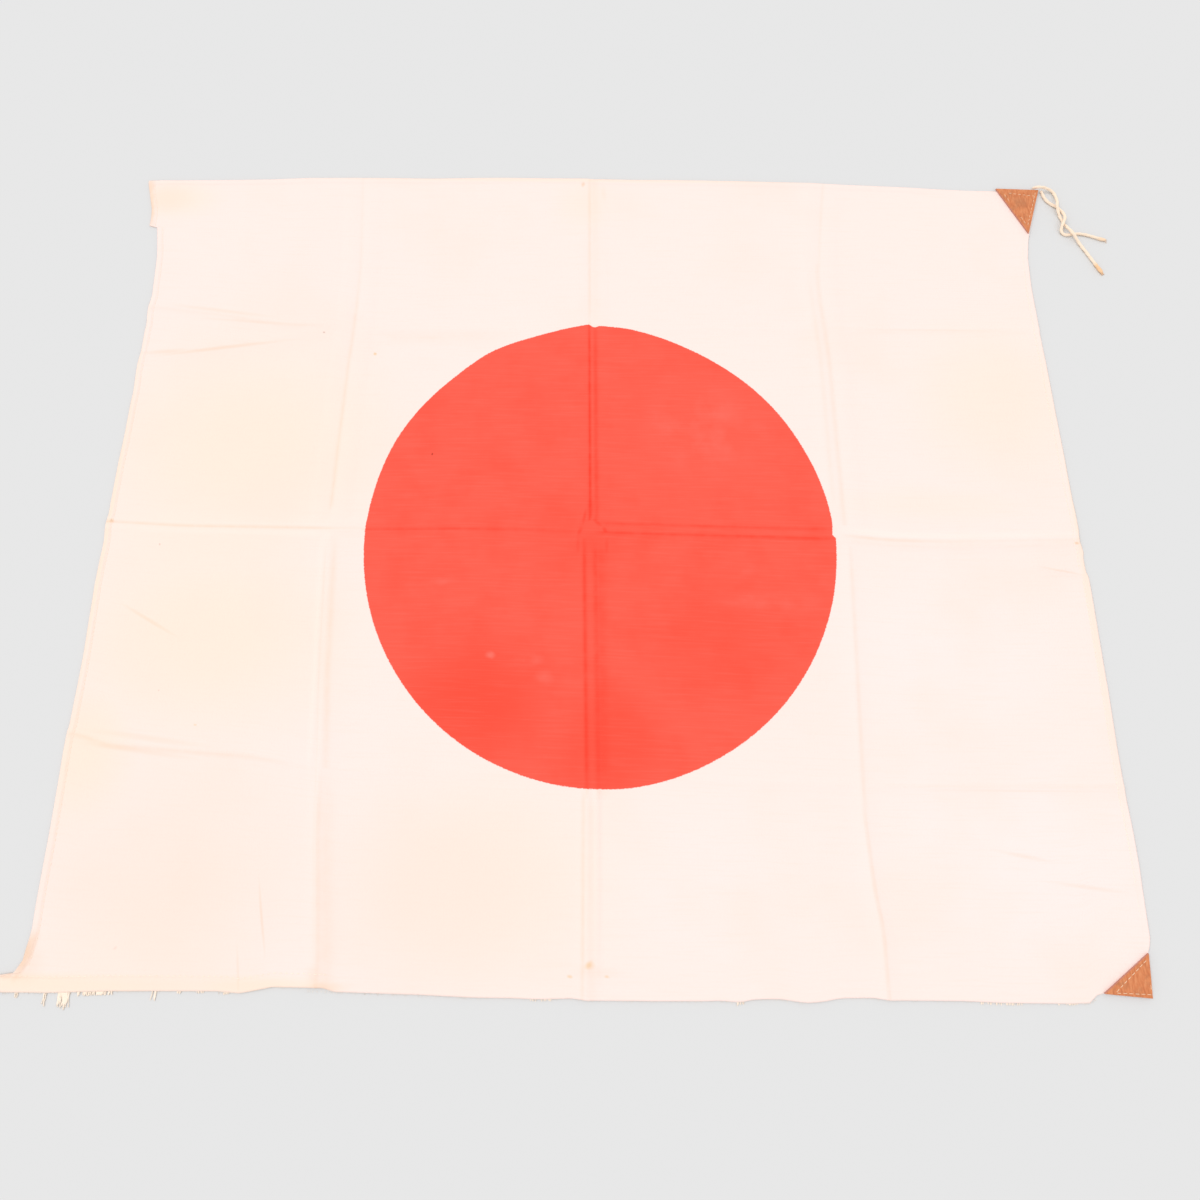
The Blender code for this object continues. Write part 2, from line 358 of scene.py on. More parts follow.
@dataclass(frozen=True)
class Stain:
    """One soft mark: its middle, half sizes, how strongly it shows and its turn in degrees."""

    x: float
    y: float
    half_width: float
    half_height: float
    strength: float
    turn: float = 0.0

    def share(self, tree: NodeTree, place: NodeSocket) -> NodeSocket:
        """Adds the nodes that say how strongly the mark shows.

        Args:
            tree: Tree of the material.
            place: Position on the cloth in metres.

        Returns:
            A share that falls smoothly to nought at the mark's edge.
        """
        inside = add_node(tree, "Mapping", {
            "Vector": place,
            "Location": (self.x * MM, self.y * MM, 0.0),
            "Rotation": (0.0, 0.0, math.radians(self.turn)),
            "Scale": (self.half_width * MM, self.half_height * MM, 1.0),
        }, vector_type="TEXTURE")
        away = add_node(tree, "VectorMath", {0: inside.outputs[0]}, operation="LENGTH")
        return Ramp(0.1, 1.0, 0.0, self.strength).of(tree, away.outputs["Value"], "SMOOTHSTEP")


def stains(*rows: tuple[float, ...]) -> tuple[Stain, ...]:
    """Makes one mark from each row of values."""
    return tuple(Stain(*row) for row in rows)


def marks(tree: NodeTree, place: NodeSocket, group: tuple[Stain, ...]) -> NodeSocket:
    """Adds the nodes that say how strongly any mark of a group shows.

    Args:
        tree: Tree of the material.
        place: Position on the cloth in metres.
        group: Marks of one colour.

    Returns:
        The largest of their shares.
    """
    total = group[0].share(tree, place)
    for stain in group[1:]:
        total = maths(tree, "MAXIMUM", total, stain.share(tree, place))
    return total


@dataclass(frozen=True)
class CottonFinish:
    """Plain woven unbleached cotton: matt, with uneven slub threads and a dyed disc."""

    name: str = "plain woven cotton"
    ground: str = "#F4DFD8"
    cool: str = "#F3E1DC"
    yellowed: str = "#F4DCC8"
    shade: str = "#EFD9CC"
    # Multiplied in as soiling and painted shade along the old folds and hems, and as painted shade along
    # the wrinkles
    crease: str = "#FAEBDC"
    # Painted highlight beside the old folds
    painted_highlight: str = "#F8EAE0"
    # Soiling and painted shade over the red, along the old folds and where they cross
    red_soil_and_shade: str = "#FFA27C"
    brown: str = "#E4C588"
    rust: str = "#E7CC74"
    speck: str = "#94705C"
    dye: str = "#F15A49"
    dye_deep: str = "#EF4B38"
    dye_worn: str = "#F47B6E"
    drawn_thread: float = 2.4
    thread_bend: float = 1.2
    slub: Grain = Grain(1.5, 3.0, 0.6, (28.0, 1.0))
    slub_height: float = 2.5
    shake: Grain = Grain(8.333333, 2.0)
    shake_reach: float = 2.0
    cloud: Grain = Grain(111.1111, 3.0)
    depth: Grain = Grain(33.33333, 5.0)
    creep: Grain = Grain(1.428571, 1.0)
    creep_reach: float = 1.2
    clouded: Ramp = Ramp(0.5, 0.75, 0.4)
    thin_white: Ramp = Ramp(0.5, 0.3, 0.25)
    thin_red: Ramp = Ramp(0.5, 0.3, 0.22)
    thick_red: Ramp = Ramp(0.5, 0.78, 0.16)
    deep_red: Ramp = Ramp(0.45, 0.75, 0.5)
    scuffed: Ramp = Ramp(0.42, 0.62)
    dyed: Ramp = Ramp(0.9 * MM, 0.3 * MM)
    patchy: Ramp = Ramp(0.3, 0.6, 1.0, 0.65)
    painted_highlight_share: Ramp = Ramp(0.0, -1.0)
    surface: Surface = Surface(roughness=0.92, specular=0.2, relief=0.4, height=0.08, sheen=0.05)
    yellow_areas: tuple[Stain, ...] = stains(
        (-300, 70, 190, 150, 0.62), (-320, 0, 150, 270, 0.42), (-310, -90, 170, 120, 0.62),
        (-330, -330, 120, 60, 0.2), (-392, -180, 60, 80, 0.65), (-60, -270, 130, 110, 0.3),
        (-400, 322, 60, 30, 0.5), (-8, 320, 40, 40, 0.3), (360, 120, 110, 110, 0.45),
        (300, 25, 130, 22, 0.25), (-380, -341, 230, 12, 0.8), (-240, -341, 90, 10, 0.8),
        (-404.6, 0, 5, 330, 0.8), (411.6, 0, 4.5, 330, 0.6), (0, 347, 430, 4, 0.5),
    )
    cool_areas: tuple[Stain, ...] = stains(
        (330, -250, 170, 120, 1), (290, -100, 130, 90, 0.9), (-330, -245, 110, 60, 0.8),
        (100, -270, 120, 90, 0.6),
    )
    shaded_areas: tuple[Stain, ...] = stains(
        (-310, -265, 150, 110, 0.62), (-110, -275, 130, 100, 0.6),
    )
    brown_stains: tuple[Stain, ...] = stains(
        (-425, 332, 6, 22, 0.3), (-420.5, 311, 5.5, 32, 0.36, 9), (-408, 322, 34, 22, 0.07),
        (-405.5, -322, 7.5, 22, 0.42, -15), (-415, -329, 13, 9, 0.35, 25), (-403, -328, 18, 16, 0.1),
        (-400.8, 3.6, 2.6, 2.4, 0.4), (408.4, -8.1, 2.6, 1.8, 0.45), (-9.9, 342.4, 2.6, 4, 0.35),
        (10, 331, 4, 12, 0.07), (-186, -341, 22, 4, 0.15), (-196, -334, 8, 10, 0.08),
        (10, -330, 24, 6, 0.06),
    )
    # Painted shade along the wrinkles and a few creases
    streaks: tuple[Stain, ...] = stains(
        (-333, 165, 78, 2.6, 0.5, 8), (-382, 161, 30, 3.5, 0.4, 4), (-356, -79, 36, 2.2, 0.4, -28),
        (-340, -171, 66, 3.6, 0.26, -7), (-350, -180, 60, 2.8, 0.28, -7), (-340, 203, 66, 3, 0.3, -7),
        (-310, 192, 60, 2, 0.25, -4), (392, -32, 24, 1.5, 0.4, -10), (329, -250, 28, 2.4, 0.3, -10),
        (374, -271, 40, 2.4, 0.3, -7), (-237, -296, 34, 1.5, 0.5, -78), (-250, -330, 20, 1.5, 0.3, -80),
        (40, -112.5, 128, 1.1, 0.3), (310, 189, 90, 1.6, 0.22), (330, -204, 90, 1.4, 0.2),
    )
    # Painted shade on the small creases where the old folds cross on the disc
    crossing_shade: tuple[Stain, ...] = stains(
        (1, 18, 4.4, 12, 0.3), (-3.9, 11.2, 9.8, 2.1, 0.4, 78), (-7.6, -1.7, 5.2, 2.4, 0.36, 65),
        (7, 5.8, 6.4, 2.4, 0.42, -38), (13.2, -0.3, 4, 2.5, 0.42, -54), (-9, -14, 2.2, 9, 0.22),
        (15, -14, 2.5, 10, 0.25),
    )
    rust_stains: tuple[Stain, ...] = stains(
        (4.5, -325.5, 5, 4, 0.45), (-10, -333, 3.4, 1.8, 0.4), (17, -333, 2.6, 1.6, 0.35),
        (-194, 161, 2, 1.8, 0.55), (-307, -160, 1.8, 1.4, 0.3),
    )
    specks: tuple[Stain, ...] = stains(
        (-242, 182, 1.3, 1.3, 0.4), (-136, 66, 1.4, 1.4, 0.7), (-339, -134, 1.2, 1.2, 0.22),
        (-358, -16, 1.4, 1.4, 0.25), (-341, -316.4, 2.2, 1.8, 0.1),
    )
    scuffs: tuple[Stain, ...] = stains(
        (-78, -104, 6, 4, 0.55), (-46, -108, 15, 7, 0.35), (-34, -122, 10, 8, 0.4),
        (66, -150, 7, 7, 0.45), (122, -33, 22, 10, 0.4), (-120, -45, 16, 5, 0.3), (100, 90, 80, 70, 0.34),
        (150, -60, 60, 14, 0.3),
    )
    deep_areas: tuple[Stain, ...] = stains(
        (-90, -140, 90, 70, 0.9), (20, -170, 60, 60, 0.7), (-10, -10, 60, 60, 0.3),
        (110, -90, 90, 80, 0.45),
    )

    def material(self) -> Material:
        """Builds the cloth's material.

        Returns:
            A material that reads the sheet's own cut attribute and its attribute of soiling, painted shade
            and painted highlight.
        """
        material, tree, place = new_tree(self.name)
        cut = add_node(tree, "Attribute", attribute_name="cut").outputs["Vector"]
        from_disc = add_node(tree, "SeparateXYZ", {0: cut}).outputs[2]

        # Slubs: thicker stretches of weft that run along the flag's long side
        slub = self.slub.on(tree, cut).outputs[0]

        # Threads are about 0.45 mm apart on the real cloth, too fine to show, so they are drawn wider
        scale = 2.0 * math.pi / 20.0 / (self.drawn_thread * MM)
        bands = {"Vector": cut, "Scale": scale, "Distortion": self.thread_bend, "Detail": 1.0}
        threads = [
            add_node(tree, "TexWave", bands, bands_direction=weave.value).outputs["Fac"] for weave in Weave
        ]
        woven = maths(tree, "MULTIPLY", *threads)

        # Marks are read a little off their place, so that no edge is round
        shake = self.shake.on(tree, place)
        reach = self.shake_reach * MM
        shaken = add_node(tree, "Mapping", {
            "Vector": shake.outputs["Color"],
            "Location": (-reach, -reach, 0.0),
            "Scale": (2.0 * reach, 2.0 * reach, 0.0),
        })
        moved = add_node(tree, "VectorMath", {0: place, 1: shaken.outputs[0]}, operation="ADD").outputs[0]

        # Old fold lines and hems carry soiling and painted shade above nought, and a painted highlight
        # beside them below nought
        soil_and_painted_light = add_node(tree, "Attribute", attribute_name="soil_and_painted_light").outputs["Fac"]
        soil_and_shade = maths(tree, "MULTIPLY", soil_and_painted_light, self.patchy.of(tree, shake.outputs[0]))

        # White ground, yellowed on the left and cooler at the lower right
        white = lay(
            tree,
            linear(self.ground),
            (self.cool, marks(tree, place, self.cool_areas)),
            (self.yellowed, marks(tree, place, self.yellow_areas)),
            (self.shade, self.clouded.of(tree, self.cloud.on(tree, place).outputs[0])),
            (self.shade, marks(tree, place, self.shaded_areas)),
            (self.shade, self.thin_white.of(tree, slub)),
            # Painted highlight beside the old folds, where their lines fall below nought
            (self.painted_highlight, self.painted_highlight_share.of(tree, soil_and_painted_light)),
        )
        # Soiling and painted shade along the old folds and hems, and painted shade along the wrinkles
        streaks = marks(tree, place, self.streaks)
        white = lay(tree, white, (self.crease, soil_and_shade), (self.crease, streaks), blend="MULTIPLY")

        # Dye, worn paler along the slubs and in scuffs, deeper at the lower left
        depth = self.depth.on(tree, place).outputs[0]
        scuffs = maths(tree, "MULTIPLY", marks(tree, moved, self.scuffs), self.scuffed.of(tree, depth))
        red = lay(
            tree,
            linear(self.dye),
            (self.dye_deep, marks(tree, place, self.deep_areas)),
            (self.dye_deep, self.deep_red.of(tree, depth)),
            (self.dye_worn, self.thick_red.of(tree, slub)),
            (self.dye_deep, self.thin_red.of(tree, slub)),
            (self.dye_worn, scuffs),
        )
        # Soiling and painted shade along the folds across the disc, and painted shade on the small creases
        # where they cross
        crossing_shade = marks(tree, place, self.crossing_shade)
        red = lay(tree, red, (self.red_soil_and_shade, soil_and_shade), (self.red_soil_and_shade, crossing_shade), blend="MULTIPLY")

        # The dye crept along single threads, so the disc's edge is ragged by half a millimetre
        creep = self.creep.on(tree, cut).outputs[0]
        crept = maths(tree, "MULTIPLY_ADD", creep, self.creep_reach * MM, from_disc)
        mixed = {0: self.dyed.of(tree, crept), 6: white, 7: red}
        colour = lay(
            tree,
            add_node(tree, "Mix", mixed, data_type="RGBA").outputs[2],
            (self.brown, marks(tree, moved, self.brown_stains)),
            (self.rust, marks(tree, moved, self.rust_stains)),
            (self.speck, marks(tree, moved, self.specks)),
            blend="MULTIPLY",
        )
        self.surface.cover(tree, colour, maths(tree, "MULTIPLY_ADD", slub, self.slub_height, woven))
        return material


@dataclass(frozen=True)
class LeatherFinish:
    """Vegetable tanned calf: satin, streaked along its grain and greyer at its cut edges."""

    name: str = "tanned calf leather"
    tan: str = "#CF7D4E"
    streak: str = "#BE6C40"
    pale: str = "#D88C5D"
    smudge: str = "#A26A48"
    cut_edge: str = "#BC8070"
    streaks: Grain = Grain(1.5, 4.0, 0.5, (1.0, 4.0))
    mottle: Grain = Grain(5.0, 5.0, 0.65)
    pore: float = 0.9
    dark_streak: Ramp = Ramp(0.5, 0.32)
    pale_streak: Ramp = Ramp(0.5, 0.68)
    mottled: Ramp = Ramp(0.5, 0.75, 0.6)
    smudged: Stain = Stain(408.0, 325.0, 9.5, 9.5, 0.4)
    sideways: Ramp = Ramp(0.9, 0.5, 0.9)
    surface: Surface = Surface(roughness=0.55, specular=0.3, relief=0.5, height=0.15)

    def material(self) -> Material:
        """Builds the leather's material.

        Returns:
            A material on Object coordinates.
        """
        material, tree, place = new_tree(self.name)
        streaks = self.streaks.on(tree, place).outputs[0]
        mottle = self.mottle.on(tree, place).outputs[0]
        normal = add_node(tree, "NewGeometry").outputs["Normal"]
        facing = add_node(tree, "SeparateXYZ", {0: normal}).outputs[2]
        colour = lay(
            tree,
            linear(self.tan),
            (self.streak, self.dark_streak.of(tree, streaks)),
            (self.pale, self.pale_streak.of(tree, streaks)),
            (self.smudge, self.mottled.of(tree, mottle)),
            (self.smudge, self.smudged.share(tree, place)),
            (self.cut_edge, self.sideways.of(tree, facing)),
        )
        cells = {"Vector": place, "Scale": 1.0 / (self.pore * MM)}
        pores = add_node(tree, "TexVoronoi", cells, feature="SMOOTH_F1")
        self.surface.cover(tree, colour, pores.outputs["Distance"])
        return material


@dataclass(frozen=True)
class ThreadFinish:
    """Spun cotton thread or string: matt, with fine lines along its fibres and dirty ends."""

    name: str
    pale: str
    shade: str
    fibre: Grain = Grain(0.5, 2.0)
    fibre_share: float = 0.3
    surface: Surface = Surface(roughness=0.9, specular=0.2, relief=0.4, height=0.1)

    def material(self) -> Material:
        """Builds the thread's material.

        Returns:
            A material that reads the piece's own soil attribute where it has one.
        """
        material, tree, place = new_tree(self.name)
        fibres = self.fibre.on(tree, place).outputs[0]
        soil_and_painted_light = add_node(tree, "Attribute", attribute_name="soil_and_painted_light").outputs["Fac"]
        share = maths(tree, "MULTIPLY_ADD", fibres, self.fibre_share, soil_and_painted_light, use_clamp=True)
        self.surface.cover(tree, lay(tree, linear(self.pale), (self.shade, share)), fibres)
        return material


@dataclass(frozen=True)
class PaperFinish:
    """Matt studio paper: pale grey with an even, dull surface."""

    name: str = "matt studio paper"
    grey: str = "#D6D6D6"
    tooth: Grain = Grain(2.5, 2.0)
    surface: Surface = Surface(roughness=1.0, specular=0.0, relief=0.05, height=0.1)

    def material(self) -> Material:
        """Builds the floor's material.

        Returns:
            A plain material with a hardly visible tooth.
        """
        material, tree, place = new_tree(self.name)
        self.surface.cover(tree, linear(self.grey), self.tooth.on(tree, place).outputs[0])
        return material


@dataclass(frozen=True)
class Points:
    """Places on the cloth: their plain columns and rows, and where these lie on the flag."""

    columns: np.ndarray
    rows: np.ndarray
    x: np.ndarray
    y: np.ndarray


@dataclass(frozen=True)
class Wrinkle:
    """One soft ridge along a given line of the cloth."""

    line: Line
    height: float
    reach: float

    def over(self, points: Points) -> np.ndarray:
        """Measures the ridge's height over the cloth.

        Args:
            points: Places on the cloth.

        Returns:
            Heights, nought away from the ridge and at its two ends.
        """
        nearest = np.full(points.x.shape, np.inf)
        along = np.zeros(points.x.shape)
        starts = lengths(self.line)
        for start, end, before, after in zip(self.line, self.line[1:], starts, starts[1:]):
            away, share = off_line(points.x, points.y, start, end)
            along = np.where(away < nearest, before + share * (after - before), along)
            nearest = np.minimum(away, nearest)
        taper = np.sin(math.pi * np.clip(along / starts[-1], 0.0, 1.0)) ** 0.5
        share = np.clip(1.0 - nearest / self.reach, 0.0, 1.0)
        return self.height * share ** 2 * (3.0 - 2.0 * share) * taper


@dataclass(frozen=True)
class SoilShadeLine:
    """One line beside an old fold or a hem of the plain cut: soiling and painted shade above nought,
    painted highlight below it.
    """

    upright: bool
    at: float
    offset: float
    half_width: float
    strengths: Line

    def over(self, points: Points) -> np.ndarray:
        """Gives the line's strength over the cloth.

        Args:
            points: Places on the cloth.

        Returns:
            Strengths from minus one to one.
        """
        away, along = points.columns, points.rows
        if not self.upright:
            away, along = along, away
        strength = np.interp(along, *zip(*self.strengths), left=0.0, right=0.0)
        return strength * np.exp(-(((away - self.at - self.offset) / self.half_width) ** 2))


def soil_and_shade(upright: bool, at: float, *rows: tuple[float, float, Line]) -> tuple[SoilShadeLine, ...]:
    """Makes the lines beside one fold or hem from the rest of their values."""
    return tuple(SoilShadeLine(upright, at, *row) for row in rows)


@dataclass(frozen=True)
class CutPlan:
    """Edges and creases of the cloth in the CAD part's own sizes."""

    columns: tuple[float, ...] = (-412.0, -214.0, 0.0, 214.0, 412.0)
    rows: tuple[float, ...] = (-346.0, -190.0, 0.0, 190.0, 346.0)
    # Edges: place along the edge, then its place across; folds have their height as well
    left_edge: Line = (
        (-347, -427.4), (-337, -427.4), (-335.4, -412), (-330, -406.8), (-320, -405.6), (-312, -404),
        (-299, -404.6), (-260, -404.6), (-240, -404.8), (-222, -405.1), (-204, -405.9), (-195, -405.8),
        (-187, -404.9), (-171, -404.7), (-150, -404.4), (-125, -404.4), (-100, -404.9), (-75, -405.4),
        (-60, -405.9), (-42, -405.7), (-30, -405.3), (-19, -405.1), (-8, -406.2), (-1, -405.8),
        (4, -405.1), (15, -405.6), (50, -405.3), (70, -404.7), (100, -404.6), (111, -404.1),
        (133, -405.3), (140, -404.9), (148, -403.9), (166, -404), (172, -403.6), (185, -404.7),
        (194, -404), (203.5, -403.3), (213, -404), (223, -404.4), (237, -405.1), (252, -405.9),
        (262, -407.2), (272, -408.7), (286.6, -411), (288.2, -418.6), (293, -418.4), (300, -418.4),
        (310, -419.4), (320, -421.8), (343, -427.3),
    )
    right_edge: Line = (
        (-344, 407.6), (-318, 410), (-307, 414.8), (-250, 415.7), (-225, 415.4), (-205, 414.6),
        (-190, 414.2), (-160, 413.9), (-120, 414.4), (-80, 414.2), (-60, 414.1), (-44, 414.2),
        (-30.5, 414), (-27, 412.4), (-14, 412.2), (-10, 413.1), (-6, 412.4), (-1, 411.1), (4, 411.3),
        (9, 412.1), (24, 411.7), (36, 410.9), (66, 410.4), (110, 409), (156, 407.9), (185, 406.5),
        (200, 406.6), (235, 405.8), (268, 407), (288, 410.2), (293, 411.4), (341, 425.4),
    )
    bottom_edge: Line = (
        (-428, -347), (-408, -346), (-375, -346.2), (-340, -344.7), (-270, -344.2), (-261, -345.6),
        (-255, -344.6), (-240, -341.3), (-208, -341.5), (-198, -344), (-132, -345.4), (-108, -346.2),
        (-88, -346.9), (-60, -347), (-36, -347.7), (-12, -346.8), (0, -348.1), (48, -348.2), (84, -347.9),
        (96, -347.4), (108, -348.6), (120, -346.3), (138, -346.2), (156, -348.5), (168, -347.6),
        (180, -345.3), (204, -345), (216, -346.4), (270, -346.4), (300, -347.4), (350, -347.6),
        (366, -347.2), (373, -341.4), (378, -340.6), (410, -342.8),
    )
    top_edge: Line = (
        (-429, 341.4), (-400, 342.4), (-360, 342.9), (-331, 343.6), (-300, 344.5), (-264, 346.6),
        (-187, 347.3), (-150, 346.9), (-120, 347.9), (-84, 348.6), (-3, 348.5), (4, 347.7), (48, 347.5),
        (103, 347.6), (200, 345.8), (216, 344.9), (240, 343.6), (261, 343), (290, 341.6), (312, 340.2),
        (352, 338.4), (385, 338), (398, 338.8), (427, 338.3),
    )
    left_fold: tuple = (
        (-344, -193, 1.4), (-320, -194, 2.6), (-236, -203, 3.2), (-179, -206, 3.2), (-125, -211, 3),
        (-11, -217, 2.6), (12, -219, 1.8), (151, -217, 1.8), (201, -215, 2), (257, -215, 1.8),
        (322, -220, 1.4), (346, -222, 0.8),
    )
    centre_fold: tuple = (
        (-349, 3, 1.2), (-339, 3, 2), (-206, 2, 2.2), (-8, -3, 2), (9, 2, 1.8), (192, -1, 1.8),
        (350, -3, 1),
    )
    right_fold: tuple = (
        (-347, 219, 1.4), (-297, 219, 2.8), (-270, 215, 2.8), (-200, 211, 2.2), (-100, 214, 1.8),
        (6, 217, 1.8), (165, 215, 1.8), (207, 212, 2), (242, 210, 2), (290, 214, 1.6), (347, 221, 0.8),
    )
    lower_fold: tuple = (
        (-402, -166, 1.6), (-383, -174, 1.6), (-341, -177, 1.6), (-270, -182, 1.4), (-198, -193, 1),
        (-121, -193, 1), (234, -202, 1.4), (414, -201, 1.4),
    )
    middle_fold: tuple = (
        (-406, 4, 1.8), (-345, 1, 2), (-214, 0, 2.2), (-92, 2, 1.4), (9, 0, 1.8), (206, -4, 2.2),
        (250, -8, 2.2), (303, -9, 2.4), (410, -6, 1.6),
    )
    upper_fold: tuple = (
        (-402, 207, 1.6), (-329, 198, 1.6), (-281, 190, 1.8), (-241, 191, 1.4), (-209, 184, 1),
        (0, 187, 1), (399, 191, 1.2),
    )
    left_reach: tuple[float, float] = (12.0, 24.0)
    right_reach: tuple[float, float] = (14.0, 14.0)
    centre_reach: tuple[float, float] = (12.0, 12.0)
    cross_reach: tuple[float, float] = (10.0, 10.0)
    shoulder_reach: float = 18.0
    crossing_half: float = 10.0
    middle_top_half: float = 3.5
    middle_reach: float = 12.0
    crossing_share: float = 0.3
    pressed_share: float = 2.2
    panel_swell: tuple[tuple[float, ...], ...] = (
        (0.0, 0.8, 0.0, 1.0),
        (1.2, 0.0, 0.0, 0.0),
        (0.8, 0.0, 0.0, 0.9),
        (1.0, 0.0, 0.8, 0.6),
    )

    @property
    def guides(self) -> tuple:
        """The lines that run up the flag and along it, each with the rounding of its bends."""
        return (
            (
                (self.left_edge, 0.0), (self.left_fold, 10.0), (self.centre_fold, 5.0),
                (self.right_fold, 10.0), (self.right_edge, 0.0),
            ),
            (
                (self.bottom_edge, 0.0), (self.lower_fold, 10.0), (self.middle_fold, 6.0),
                (self.upper_fold, 10.0), (self.top_edge, 0.0),
            ),
        )


@dataclass(frozen=True)
class Disc:
    """The dyed disc: its middle, its radius and where its edge strays from round."""

    x: float = 8.2
    y: float = -8.5
    radius: float = 196.8
    strays: Line = (
        (-180, -0.7), (-150, -1.1), (-132, -1.1), (-108, -0.7), (-90, 0.1), (-84, 0.9), (-60, 1.2),
        (-42, 2), (-12, 2.1), (0, 2), (0.9, 1.7), (1.5, -0.8), (5, 0.8), (12, 0.1), (24, -1.7),
        (42, -2.9), (57, -3.7), (66, -3.1), (72, -1.7), (84, 1.3), (88, 1.7), (89.7, 2.2), (90.5, 1.9),
        (91, 1.2), (91.5, 0.8), (92, 1.2), (92.5, 2.5), (93, 3.9), (93.6, 3.8), (94.5, 3.2), (95.5, 2.8),
        (97, 2.3), (99, 1.7), (102, 0.9), (108, 0.1), (114, 0.8), (120, 1.6), (126, 0.1), (132, -0.9),
        (144, -0.2), (153, 0.2), (168, -0.7), (180, -0.7),
    )

    def outside(self, points: Points) -> np.ndarray:
        """Measures how far each place lies outside the disc's edge.

        Args:
            points: Places on the cloth.

        Returns:
            Distances in millimetres, below nought inside the disc.
        """
        x, y = points.x - self.x, points.y - self.y
        stray = np.interp(np.degrees(np.arctan2(y, x)), *zip(*self.strays))
        return np.hypot(x, y) - self.radius - stray


